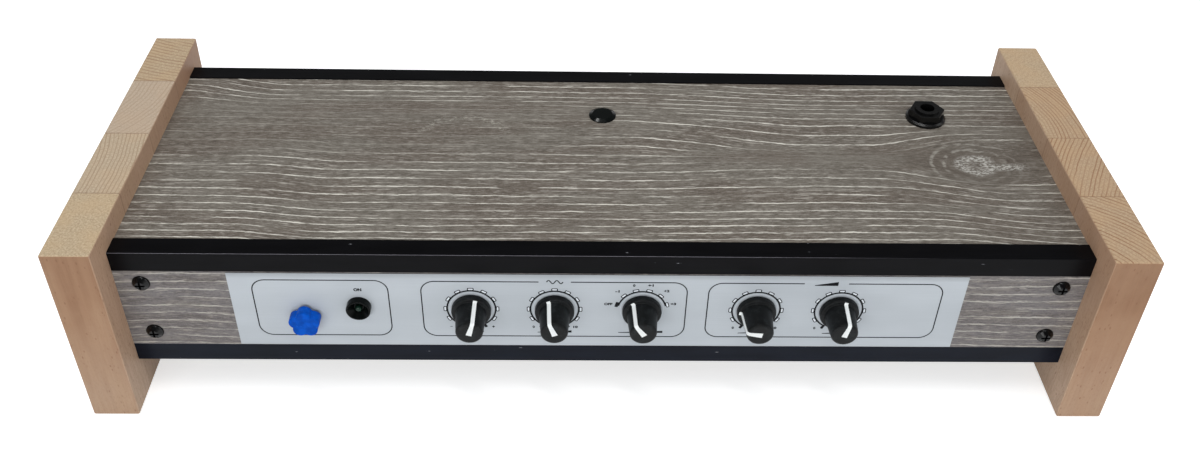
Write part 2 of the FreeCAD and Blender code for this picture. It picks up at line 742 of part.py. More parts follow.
def make_star_knob():
    """The blue knob: a disc with five round lobes, one of them upright at rest."""
    body = new_body("power_knob")
    base = size.label_thickness + size.star_gap
    disc = sketch(body, "XZ_Plane", base)
    circle(disc, 0, 0, size.star_valley_radius)
    pad(body, disc, size.star_height)
    lobe = sketch(body, "XZ_Plane", base)
    circle(lobe, 0, size.star_lobe_circle, size.star_lobe_radius)
    grown = pad(body, lobe, size.star_height)
    DOCUMENT.recompute()
    ring = body.newObject("PartDesign::PolarPattern", "power_knob_lobes")
    ring.Originals = [grown]
    ring.Axis = (disc, ["N_Axis"])
    ring.Angle = 360
    ring.Occurrences = 5
    body.Tip = ring
    front = -(base + size.star_height).number
    soften(body, size.star_rounding,
           lambda edge: near(edge.BoundBox.YMin, front) and near(edge.BoundBox.YMax, front))
    bore = sketch(body, "XZ_Plane", base)
    circle(bore, 0, 0, size.power_shaft_radius)
    pocket(body, bore, size.star_height - size.star_face, forward=True)
    place(body, size.power_x, size.panel_y, size.power_height)


def make_power_control():
    base = size.label_thickness + size.star_gap
    bush_reach = size.label_thickness + size.power_nut_thickness + size.power_bush_proud
    make_rotary("power_switch", size.pot_radius, size.pot_depth, size.power_bush_radius, bush_reach,
                size.power_shaft_radius, size.power_x, size.power_height)
    shaft_reach = base + size.star_height - size.star_face - size.bore_gap
    make_shaft("power_shaft", size.power_shaft_radius, shaft_reach, size.pot_radius, size.pot_depth,
               size.power_x, size.power_height, 0)
    make_star_knob()
    ring = turned("power_nut", [
        (size.label_thickness, size.power_bush_radius), (size.label_thickness, size.power_nut_radius),
        (size.label_thickness + size.power_nut_thickness, size.power_nut_radius),
        (size.label_thickness + size.power_nut_thickness, size.power_bush_radius)])
    place(ring, size.power_x, size.panel_y, size.power_height)


def make_control_fixings():
    """One washer and one thin nut on the bush of each panel control."""
    towards_player = facing((0, -1, 0))
    spots = [at(x, size.panel_y, size.control_height, towards_player) for x, _ in CONTROLS.values()]
    seat = size.label_thickness
    washer = upright("control_washer", [
        (size.bush_radius, seat), (size.washer_radius, seat),
        (size.washer_radius, seat + size.washer_thickness),
        (size.bush_radius, seat + size.washer_thickness)], keep=False)
    nut = make_nut("control_nut", size.nut_flats, size.nut_thickness, size.bush_radius,
                   seat + size.washer_thickness)
    group("control_washers", copies(washer, spots))
    group("control_nuts", copies(nut, spots))


def make_controls():
    for name, (x, turn) in CONTROLS.items():
        make_control(name, x, turn)
    make_power_control()
    make_control_fixings()


# ---------------------------------------------------------------- lamp, plug and sockets

def make_lamp():
    """A reflector bezel pushed through the panel, with a 3 mm light-emitting diode in it."""
    seat, reach = size.label_thickness, size.bezel_reach
    back, bore = -size.web - size.led_body_length, size.led_radius + size.running_gap
    bezel = turned("lamp_bezel", [
        (back, bore), (back, size.bezel_stem_radius),
        (seat, size.bezel_stem_radius), (seat, size.bezel_radius),
        (reach, size.bezel_radius), (reach, size.bezel_radius - size.bezel_lip),
        (seat + size.bezel_floor, bore + size.bezel_throat), (seat + size.bezel_floor, bore)])
    soften(bezel, size.bezel_rounding, rim_at(reach, size.bezel_radius))
    place(bezel, size.lamp_x, size.panel_y, size.lamp_height)
    led = turned("lamp_led", [
        (back, 0), (back, size.led_radius), (size.led_reach, size.led_radius), (size.led_reach, 0)])
    soften(led, size.led_rounding, rim_at(size.led_reach, size.led_radius))
    legs = sketch(led, "XZ_Plane", back)
    half = size.led_leg_width / 2
    for x in (-size.led_leg_offset, size.led_leg_offset):
        rectangle(legs, x - half, -half, x + half, half)
    pad(led, legs, size.led_leg_length, forward=False)
    place(led, size.lamp_x, size.panel_y, size.lamp_height)


def make_hole_plug():
    inside = size.plug_stem_radius - size.plug_wall
    plug = upright("hole_plug", [
        (0, -size.plug_wall), (inside, -size.plug_wall), (inside, -size.plug_stem_length),
        (size.plug_stem_radius, -size.plug_stem_length), (size.plug_stem_radius, 0),
        (size.plug_radius, 0), (size.plug_radius, size.plug_rim),
        (size.plug_radius - size.plug_bevel, size.plug_rise), (0, size.plug_rise)])
    place(plug, 0, size.panel_y + size.plug_y, size.top_surface)


def make_socket(name):
    """A 6.35 mm jack socket on its own Z axis: its mounting face is at height 0, its mouth above."""
    body = new_body(name)
    half = size.socket_block / 2
    block = sketch(body, "XY_Plane", -size.web)
    rectangle(block, -half, -half, half, half)
    pad(body, block, size.socket_block, forward=False)
    bush = sketch(body, "XY_Plane", -size.web)
    circle(bush, 0, 0, size.socket_bush_radius)
    pad(body, bush, size.web + size.socket_reach)
    lugs = sketch(body, "XY_Plane", -size.web - size.socket_block)
    half, wide = size.socket_lug_thickness / 2, size.socket_lug_width / 2
    for x in (-size.socket_lug_offset, size.socket_lug_offset):
        rectangle(lugs, x - half, -wide, x + half, wide)
    pad(body, lugs, size.socket_lug_length, forward=False)
    bore = sketch(body, "XY_Plane", size.socket_reach)
    circle(bore, 0, 0, size.plug_bore_radius)
    pocket(body, bore, size.socket_reach + size.web + size.socket_block, forward=False)
    return body


def make_sockets():
    """Pitch antenna socket on top, volume antenna socket in the left cheek, output at the rear."""
    cheek_seat = -(size.half_width + size.cheek_thickness - size.socket_recess_depth)
    spots = {
        "pitch_antenna_socket": (size.pitch_socket_x, size.panel_y + size.pitch_socket_y,
                                 size.top_surface, facing((0, 0, 1))),
        "volume_antenna_socket": (cheek_seat, size.front_edge + size.cheek_depth / 2,
                                  size.case_lift + size.case_height / 2, facing((-1, 0, 0))),
        "output_socket": (size.output_socket_x, size.back_y, size.control_height, facing((0, 1, 0))),
    }
    for name, spot in spots.items():
        place(make_socket(name), *spot)
    thickness = size.socket_flange_thickness
    flange = upright("socket_flange", [
        (size.socket_bush_radius, 0), (size.socket_flange_radius, 0),
        (size.socket_flange_radius, size.socket_flange_rim),
        (size.socket_flange_radius - size.socket_flange_bevel, thickness),
        (size.socket_bush_radius, thickness)], keep=False)
    nut = make_nut("socket_nut", size.socket_nut_flats, size.socket_nut_thickness,
                   size.socket_bush_radius, thickness)
    seats = [at(*spot) for spot in spots.values()]
    group("socket_flanges", copies(flange, seats))
    group("socket_nuts", copies(nut, seats))


def make_inlet():
    """A panel inlet for a DC plug, with its centre pin, held by a nut behind the rear board."""
    away = facing((0, 1, 0))
    body = upright("dc_inlet", [
        (0, -size.inlet_depth), (size.inlet_radius, -size.inlet_depth), (size.inlet_radius, 0),
        (size.inlet_flange_radius, 0), (size.inlet_flange_radius, size.inlet_flange_thickness),
        (size.inlet_bore_radius, size.inlet_flange_thickness),
        (size.inlet_bore_radius, -size.inlet_bore_depth),
        (size.inlet_pin_radius, -size.inlet_bore_depth), (size.inlet_pin_radius, 0), (0, 0)])
    lugs = sketch(body, "XY_Plane", -size.inlet_depth)
    half, wide = size.inlet_lug_thickness / 2, size.inlet_lug_width / 2
    for x in (-size.inlet_lug_offset, size.inlet_lug_offset):
        rectangle(lugs, x - half, -wide, x + half, wide)
    pad(body, lugs, size.inlet_lug_length, forward=False)
    place(body, size.inlet_x, size.back_y, size.control_height, away)
    nut_back, nut_radius = -size.web - size.inlet_nut_thickness, size.inlet_radius + size.inlet_nut_wall
    nut = upright("dc_inlet_nut", [
        (size.inlet_radius, nut_back), (nut_radius, nut_back), (nut_radius, -size.web),
        (size.inlet_radius, -size.web)])
    place(nut, size.inlet_x, size.back_y, size.control_height, away)


# ---------------------------------------------------------------- circuit board

def box(left, front, low, length, width, height):
    values = (as_size(value).number for value in (length, width, height))
    return Part.makeBox(*values, Vector(*(as_size(value).number for value in (left, front, low))))


def standoff_spots():
    inset = size.standoff_inset
    half = size.board_length / 2 - inset
    front = size.panel_y + size.board_setback + inset
    back = size.panel_y + size.board_setback + size.board_width - inset
    return [(size.board_x + side * half, y) for side in (LEFT, RIGHT) for y in (front, back)]


def make_circuit_board():
    body = new_body("circuit_board")
    front = size.panel_y + size.board_setback
    underside = size.inner_floor + size.standoff_height
    drawn = sketch(body, "XY_Plane", underside)
    rectangle(drawn, size.board_x - size.board_length / 2, front,
              size.board_x + size.board_length / 2, front + size.board_width)
    pad(body, drawn, size.board_sheet)
    holes = sketch(body, "XY_Plane", underside)
    for x, y in standoff_spots():
        circle(holes, x, y, size.standoff_screw_radius)
    pocket(body, holes, size.board_sheet, forward=True)
    standoff = upright("standoff", [
        (size.standoff_screw_radius, 0), (size.standoff_radius, 0),
        (size.standoff_radius, size.standoff_height),
        (size.standoff_screw_radius, size.standoff_height)], keep=False)
    group("board_standoffs", copies(standoff, [at(x, y, size.inner_floor) for x, y in standoff_spots()]))
    shank = size.standoff_screw_radius - size.running_gap
    rim, length, top = size.board_screw_head_radius, size.board_screw_length, size.board_screw_head_height
    screw = upright("board_screw", [
        (0, -length), (shank, -length), (shank, 0), (rim, 0), (rim, size.board_screw_rim),
        (rim - size.board_screw_rim, top), (0, top)], keep=False)
    group("board_screws", copies(screw, [
        at(x, y, underside + size.board_sheet) for x, y in standoff_spots()]))


def on_board(x, y):
    """A spot on the circuit board's upper face, from the middle of its front edge."""
    return (size.board_x + x, size.panel_y + size.board_setback + y,
            size.inner_floor + size.standoff_height + size.board_sheet)


def make_tuned_coils():
    """Four screened coils, each can open at the top over its tuning core."""
    master = new_body("coil_can", keep=False)
    half = size.coil_can / 2
    drawn = sketch(master, "XY_Plane")
    rectangle(drawn, -half, -half, half, half)
    pad(master, drawn, size.coil_can_height)
    soften(master, size.coil_rounding, lambda edge: edge.BoundBox.ZLength > 1)
    hole = sketch(master, "XY_Plane", size.coil_can_height)
    circle(hole, 0, 0, size.coil_core_radius)
    pocket(master, hole, size.coil_core_depth, forward=False)
    spots = [(-72, 40), (-54, 40), (0, 35), (18, 35)]
    group("tuned_coils", copies(master, [at(*on_board(x, y)) for x, y in spots]))


def make_antenna_chokes():
    """Two bobbin-wound chokes, one in each antenna's line."""
    rim, waist, height = size.choke_radius, size.choke_radius - size.choke_groove, size.choke_height
    flange = size.choke_flange
    choke = upright("choke", [
        (0, 0), (rim, 0), (rim, flange), (waist, flange), (waist, height - flange),
        (rim, height - flange), (rim, height), (0, height)], keep=False)
    group("antenna_chokes", copies(choke, [at(*on_board(x, 40)) for x in (-92, 92)]))


def make_chip(x, y, pins):
    """A dual in-line chip with this many pins along each side, standing on them."""
    left, front, low = on_board(x, y)
    chip = box(left, front, low + size.chip_lift, size.pin_pitch * pins, size.chip_width, size.chip_height)
    start = (size.pin_pitch - size.chip_pin_width) / 2
    for pin in range(pins):
        for side in (front - 2 * size.chip_pin_width, front + size.chip_width):
            leg = box(left + start + size.pin_pitch * pin, side, low,
                      size.chip_pin_width, 2 * size.chip_pin_width, size.chip_pin_height)
            chip = chip.fuse(leg)
    return chip.removeSplitter()


def make_electrolytic(x, y, radius, height):
    """A can capacitor with the crimped groove above its seal."""
    foot = Vector(*(value.number for value in on_board(x, y)))
    can = Part.makeCylinder(radius, height, foot)
    groove = Part.makeTorus(radius + size.crimp_offset.number, size.crimp_radius.number, Vector(0, 0, 0))
    groove.translate(foot + Vector(0, 0, size.crimp_height.number))
    return can.cut(groove)


def make_regulator(x, y):
    """A three-legged regulator with its metal tab behind it."""
    left, front, low = on_board(x, y)
    width, depth, foot = size.regulator_width, size.regulator_depth, low + size.regulator_lift
    regulator = box(left, front, foot, width, depth, size.regulator_height)
    regulator = regulator.fuse(box(left, front + depth, foot, width, size.tab_thickness, size.tab_height))
    outer = width / 2 - size.pin_pitch - size.regulator_leg_width / 2
    for leg in range(3):
        regulator = regulator.fuse(box(
            left + outer + size.pin_pitch * leg, front + depth / 2, low,
            size.regulator_leg_width, size.regulator_leg_thickness, size.regulator_lift))
    return regulator.removeSplitter()


# Where the board's parts stand, from the middle of its front edge
CHIPS = ((-40, 12, 8), (-8, 12, 8), (24, 12, 4), (44, 12, 4))
ELECTROLYTICS = ((64, 14, 5, 12), (78, 14, 5, 12), (56, 34, 4, 10), (68, 34, 4, 10), (-76, 60, 6.3, 15),
                 (-58, 60, 5, 12))
FILMS = ((-40, 26), (-28, 26), (-8, 24), (30, 26), (42, 26), (-38, 44), (-24, 44), (36, 44))
REGULATOR = (-40, 60)


def make_board_components():
    group("integrated_circuits", [make_chip(*spot) for spot in CHIPS])
    group("electrolytic_capacitors", [make_electrolytic(*spot) for spot in ELECTROLYTICS])
    group("film_capacitors", [box(*on_board(x, y), size.film_length, size.film_width, size.film_height)
                              for x, y in FILMS])
    group("voltage_regulator", [make_regulator(*REGULATOR)])


# ---------------------------------------------------------------- connectors and wires

def connector_spots():
    """Pin connectors on the circuit board: middle X and Y from the board's front edge, length, width."""
    width, length = size.connector_width, size.connector_length
    inset = size.connector_inset + width / 2
    side = size.board_length / 2 - inset
    spots = [(x - size.board_x, inset, length, width) for x, _ in CONTROLS.values()]
    spots += [
        (size.lamp_x + size.lamp_wire_shift - size.board_x, inset, width, width),
        (-side, size.power_entry, width, length),
        (-side, size.cheek_entry, width, length),
        (side, size.pitch_entry, width, length),
        (size.output_entry_x - size.board_x, size.board_width - inset, length * 0.8, width),
    ]
    return spots


def make_connectors():
    solids = []
    for x, y, length, width in connector_spots():
        middle_x, middle_y, low = on_board(x, y)
        solids.append(box(middle_x - length / 2, middle_y - width / 2, low,
                          length, width, size.connector_height))
    group("board_connectors", solids)


def make_wire(points, bend):
    """A round wire along straight runs, joined by arcs that touch both runs."""
    edges, start = [], points[0]
    for before, corner, after in zip(points, points[1:], points[2:]):
        arrive = (corner - before).normalize()
        leave = (after - corner).normalize()
        back_off = bend * math.tan(arrive.getAngle(leave) / 2)
        enter, end = corner - arrive * back_off, corner + leave * back_off
        centre_distance = math.hypot(bend, back_off)
        middle = corner + (leave - arrive).normalize() * (centre_distance - bend)
        edges += [Part.LineSegment(start, enter).toShape(), Part.Arc(enter, middle, end).toShape()]
        start = end
    edges.append(Part.LineSegment(start, points[-1]).toShape())
    path = Part.Wire(edges)
    ring = Part.Wire([Part.Circle(points[0], points[1] - points[0], size.wire_radius.number).toShape()])
    solid = path.makePipeShell([ring], True, False)
    expected = Part.Face(ring).Area * path.Length
    if abs(solid.Volume - expected) > 0.01 * expected:
        raise RuntimeError("a wire's volume is not its section times its length")
    return solid


def lead(lug, leave, entry, arrive, bend=2.5):
    """A wire that leaves a solder lug straight, crosses over, and runs straight into a connector."""
    lug, leave, entry, arrive = (
        Vector(*(as_size(value).number for value in point)) for point in (lug, leave, entry, arrive))
    return make_wire([lug, lug + leave, entry - arrive, entry], bend)


def lug_place(radius):
    """How far behind the panel, and below its axis, a housing's wires are soldered on."""
    return size.web + size.lug_setback + size.lug_thickness, radius + size.lug_length * 0.6


def control_wires(x, radius, depth):
    """Three wires from a housing's lugs, back under it and up to its connector."""
    setback, drop = lug_place(radius)
    leave = size.web + depth + 2 - setback
    entry_y = on_board(0, size.connector_inset)[1]
    return [lead((x + offset, size.panel_y + setback, size.control_height - drop), (0, leave, 0),
                 (x + offset, entry_y, size.wire_entry_height), (0, 5, 0))
            for offset in LUG_OFFSETS]


def power_wires():
    """The power switch's wires run back and turn in to the board's left edge, one inside the next."""
    setback, drop = lug_place(size.pot_radius)
    leave = size.web + size.pot_depth + 2 - setback
    entry_x, entry_y, _ = on_board(-size.board_length / 2 + size.connector_inset, size.power_entry)
    return [lead((size.power_x + offset, size.panel_y + setback, size.power_height - drop),
                 (0, leave, 0), (entry_x, entry_y - 0.9 * offset, size.wire_entry_height), (6, 0, 0))
            for offset in LUG_OFFSETS]


def lamp_wires():
    legs_end = size.panel_y + size.web + size.led_body_length + size.led_leg_length
    entry_x, entry_y = size.lamp_x + size.lamp_wire_shift, on_board(0, size.connector_inset)[1]
    return [lead((size.lamp_x + leg, legs_end, size.lamp_height), (0, 3, 0),
                 (entry_x + leg, entry_y, size.wire_entry_height), (0, 4, 0))
            for leg in (-size.led_leg_offset, size.led_leg_offset)]


def socket_wires():
    """Two wires from each socket's lugs and from the inlet to the connector nearest to them."""
    left, _, _ = on_board(-size.board_length / 2 + size.connector_inset, 0)
    right, pitch_y, _ = on_board(size.board_length / 2 - size.connector_inset, size.pitch_entry)
    cheek_y = on_board(0, size.cheek_entry)[1]
    entry_z, lug = size.wire_entry_height, size.socket_lug_offset
    depth = size.web + size.socket_block + size.socket_lug_length
    pitch_x, y, z = size.pitch_socket_x, size.panel_y + size.pitch_socket_y, size.top_surface - depth
    wires = [
        lead((pitch_x - lug, y, z), (0, 0, -2.5), (right, pitch_y + 3, entry_z), (-8, 0, 0), 2),
        lead((pitch_x + lug, y, z), (0, 0, -4.5), (right, pitch_y - 3, entry_z), (-8, 0, 0), 3),
    ]
    x = depth + size.socket_recess_depth - size.half_width - size.cheek_thickness
    y, z = size.front_edge + size.cheek_depth / 2, size.case_lift + size.case_height / 2
    wires += [
        lead((x, y, z - lug), (12, 0, 0), (left, cheek_y - 5, entry_z), (8, 0, 0), 6),
        lead((x, y, z + lug), (8, 0, 0), (left, cheek_y - 2, entry_z), (8, 0, 0), 6),
    ]
    x, y, z = size.output_socket_x, size.back_y - depth, size.control_height
    _, entry_y, top = on_board(0, size.board_width - size.connector_inset - size.connector_width / 2)
    entry_x, top = size.output_entry_x, top + size.connector_height
    wires += [
        lead((x - lug, y, z), (0, -3, 0), (entry_x - 3, entry_y, top), (0, 0, top - z), 2),
        lead((x + lug, y, z), (0, -3, 0), (entry_x + 2.5, entry_y, top), (0, 0, top - z), 2),
    ]
    x, y, lug = size.inlet_x, size.back_y - size.inlet_depth - size.inlet_lug_length, size.inlet_lug_offset
    wires += [
        lead((x - lug, y, z), (0, -10, 0), (left, cheek_y + 2, entry_z), (8, 0, 0), 6),
        lead((x + lug, y, z), (0, -8, 0), (left, cheek_y + 5, entry_z), (8, 0, 0), 6),
    ]
    return wires


def make_wiring():
    wires = power_wires() + lamp_wires() + socket_wires()
    for name, (x, _) in CONTROLS.items():
        wires += control_wires(x, *housing_of(name))
    group("wiring", wires)


# ---------------------------------------------------------------- export

def export():
    """Check every object, then write each sub-part to its own STEP file."""
    DOCUMENT.recompute()
    for thing in DOCUMENT.Objects:
        if "Invalid" in thing.State or "Error" in thing.State:
            raise RuntimeError(f"{thing.Label}: {thing.State}")
    for piece in PIECES:
        if piece.Shape.isNull() or not piece.Shape.isValid():
            raise RuntimeError(f"{piece.Label} has no valid shape")
    os.makedirs("parts", exist_ok=True)
    for piece in PIECES:
        piece.Shape.exportStep(f"parts/{piece.Label}.step")
    print(len(PIECES), "nodes")


make_case()
make_controls()
make_lamp()
make_hole_plug()
make_sockets()
make_inlet()
make_circuit_board()
make_tuned_coils()
make_antenna_chokes()
make_board_components()
make_connectors()
make_wiring()
export()
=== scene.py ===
"""The looks of a table-top theremin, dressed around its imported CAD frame.

The frame's axes: X to the player's right, Y away from the player, Z up. Blender works in metres.
The materials' patterns and the printed panel are written in millimetres.
"""
import json
import math

import bmesh
import bpy
from mathutils import Matrix, Vector


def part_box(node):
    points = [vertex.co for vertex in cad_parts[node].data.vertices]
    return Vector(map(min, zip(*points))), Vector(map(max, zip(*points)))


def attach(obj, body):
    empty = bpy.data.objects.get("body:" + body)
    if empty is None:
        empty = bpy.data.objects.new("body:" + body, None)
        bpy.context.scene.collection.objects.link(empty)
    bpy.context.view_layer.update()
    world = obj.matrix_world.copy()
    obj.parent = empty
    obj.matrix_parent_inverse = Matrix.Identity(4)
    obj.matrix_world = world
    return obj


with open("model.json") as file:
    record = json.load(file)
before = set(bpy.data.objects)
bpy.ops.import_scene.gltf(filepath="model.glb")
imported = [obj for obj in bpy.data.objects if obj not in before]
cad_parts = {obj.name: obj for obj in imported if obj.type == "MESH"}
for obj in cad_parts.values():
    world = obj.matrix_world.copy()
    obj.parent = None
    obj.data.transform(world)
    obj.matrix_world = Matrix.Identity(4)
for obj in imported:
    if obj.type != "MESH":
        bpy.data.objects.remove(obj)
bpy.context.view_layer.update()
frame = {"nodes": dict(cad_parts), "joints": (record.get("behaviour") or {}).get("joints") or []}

MM = 0.001
NODES = frame["nodes"]
JOINTS = {joint["child"]: joint for joint in frame["joints"]}

LABEL_LOW, LABEL_HIGH = (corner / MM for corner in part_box("front_label"))
LABEL_FRONT = LABEL_LOW.y
PANEL_FRONT = LABEL_HIGH.y

# The pointer knobs and how far each pointer stands clockwise from upright at rest, in degrees
POINTER_TURNS = {"tuning": 16, "sensitivity": -21, "octave": -35, "distance": -82, "volume": 15}

# The pointer's paint: from the flare down to the tail it widens, and it begins above the skirt
POINTER_WIDTH = 1.6
POINTER_TAIL = 0.8
POINTER_TAIL_WIDTH = 2.3
POINTER_FLARE = 4.2
POINTER_FOOT = 3.05
PAINT_MARGIN = 0.02


def dial_axis(name):
    """Where a dial's axis meets the panel: X and Z in millimetres."""
    place = JOINTS[f"{name}_dial"]["pos_m"]
    return place[0] / MM, place[2] / MM


# -------- materials: the shader helper

def srgb(red, green, blue):
    """A colour given as 0 to 255 on screen, as the linear colour that shaders take."""
    def linear(value):
        value /= 255
        return value / 12.92 if value <= 0.04045 else ((value + 0.055) / 1.055) ** 2.4
    return linear(red), linear(green), linear(blue), 1.0


def scaled(colour, factor):
    """A plain colour made darker or lighter."""
    return tuple(value * factor for value in colour[:3]) + (1.0,)


def between(share, first, second):
    """A plain colour between the first, at share 0, and the second, at share 1."""
    return tuple(one * (1 - share) + other * share for one, other in zip(first, second))


def math_node(operation):
    """A method that adds one Math node of this kind."""
    def method(field, *others):
        node = field.shader.node("ShaderNodeMath", operation=operation)
        for place, value in enumerate((field,) + others):
            field.shader.feed(node.inputs[place], value)
        return Field(field.shader, node.outputs[0])
    return method


class Field:
    """A socket of a shader's tree. Arithmetic on fields adds Math nodes."""

    def __init__(self, shader, socket):
        self.shader = shader
        self.socket = socket

    __add__ = __radd__ = math_node("ADD")
    __sub__ = math_node("SUBTRACT")
    __mul__ = __rmul__ = math_node("MULTIPLY")
    __truediv__ = math_node("DIVIDE")
    power = math_node("POWER")
    root = math_node("SQRT")
    size = math_node("ABSOLUTE")
    least = math_node("MINIMUM")
    most = math_node("MAXIMUM")
    above = math_node("GREATER_THAN")
    below = math_node("LESS_THAN")
    floor = math_node("FLOOR")
    nearest = math_node("ROUND")
    fraction = math_node("FRACT")

    def __rsub__(self, other):
        return (self * -1) + other

    def __rtruediv__(self, other):
        return self.power(-1) * other

    def step(self, low, high):
        """A smooth step from 0 at low to 1 at high."""
        node = self.shader.node("ShaderNodeMapRange", interpolation_type="SMOOTHSTEP")
        self.shader.feed(node.inputs["Value"], self)
        node.inputs["From Min"].default_value = low
        node.inputs["From Max"].default_value = high
        return Field(self.shader, node.outputs[0])


class Shader:
    """A Principled material with short ways to add nodes to it."""

    def __init__(self, name, colour, roughness, **sockets):
        self.material = bpy.data.materials.new(name)
        self.material.use_nodes = True
        self.tree = self.material.node_tree
        self.surface = self.tree.nodes["Principled BSDF"]
        self.feed(self.surface.inputs["Base Color"], colour)
        self.feed(self.surface.inputs["Roughness"], roughness)
        for socket, value in sockets.items():
            self.surface.inputs[socket.replace("_", " ")].default_value = value

    def node(self, kind, **settings):
        node = self.tree.nodes.new(kind)
        for setting, value in settings.items():
            setattr(node, setting, value)
        return node

    def feed(self, socket, value):
        if isinstance(value, Field):
            self.tree.links.new(value.socket, socket)
        else:
            socket.default_value = value

    def colour(self, value):
        self.feed(self.surface.inputs["Base Color"], value)

    def roughness(self, value):
        self.feed(self.surface.inputs["Roughness"], value)

    def parts(self, kind):
        """The X, Y and Z of one kind of texture coordinate."""
        coordinates = self.node("ShaderNodeTexCoord")
        apart = self.node("ShaderNodeSeparateXYZ")
        self.tree.links.new(coordinates.outputs[kind], apart.inputs[0])
        return [Field(self, output) for output in apart.outputs]

    def place(self):
        """The surface point's X, Y and Z in millimetres. It stays with the piece at every pose."""
        return [part * (1 / MM) for part in self.parts("Object")]

    def facing(self):
        """The surface's own direction, as X, Y and Z."""
        return self.parts("Normal")

    def point(self, x, y, z=0.0):
        node = self.node("ShaderNodeCombineXYZ")
        for socket, value in zip(node.inputs, (x, y, z)):
            self.feed(socket, value)
        return Field(self, node.outputs[0])

    def noise(self, x, y, z=0.0, detail=2.0, roughness=0.5):
        """Smooth noise from 0 to 1; one unit is one blotch."""
        node = self.node("ShaderNodeTexNoise")
        self.feed(node.inputs["Vector"], self.point(x, y, z))
        node.inputs["Scale"].default_value = 1.0
        node.inputs["Detail"].default_value = detail
        node.inputs["Roughness"].default_value = roughness
        return Field(self, node.outputs[0])

    def cells(self, x, y, z=0.0):
        """Random cells one unit apart: the distance to the nearest cell's middle."""
        node = self.node("ShaderNodeTexVoronoi")
        self.feed(node.inputs["Vector"], self.point(x, y, z))
        node.inputs["Scale"].default_value = 1.0
        return Field(self, node.outputs["Distance"])

    def mix(self, share, first, second):
        """A colour between the first, at share 0, and the second, at share 1."""
        node = self.node("ShaderNodeMix", data_type="RGBA")
        self.feed(node.inputs[0], share)
        self.feed(node.inputs[6], first)
        self.feed(node.inputs[7], second)
        return Field(self, node.outputs[2])

    def bump(self, height, depth):
        """Raise the surface by the height field times the depth, in millimetres."""
        node = self.node("ShaderNodeBump")
        node.inputs["Strength"].default_value = 1.0
        node.inputs["Distance"].default_value = depth * MM
        self.feed(node.inputs["Height"], height)
        self.tree.links.new(node.outputs[0], self.surface.inputs["Normal"])


# -------- materials: wood

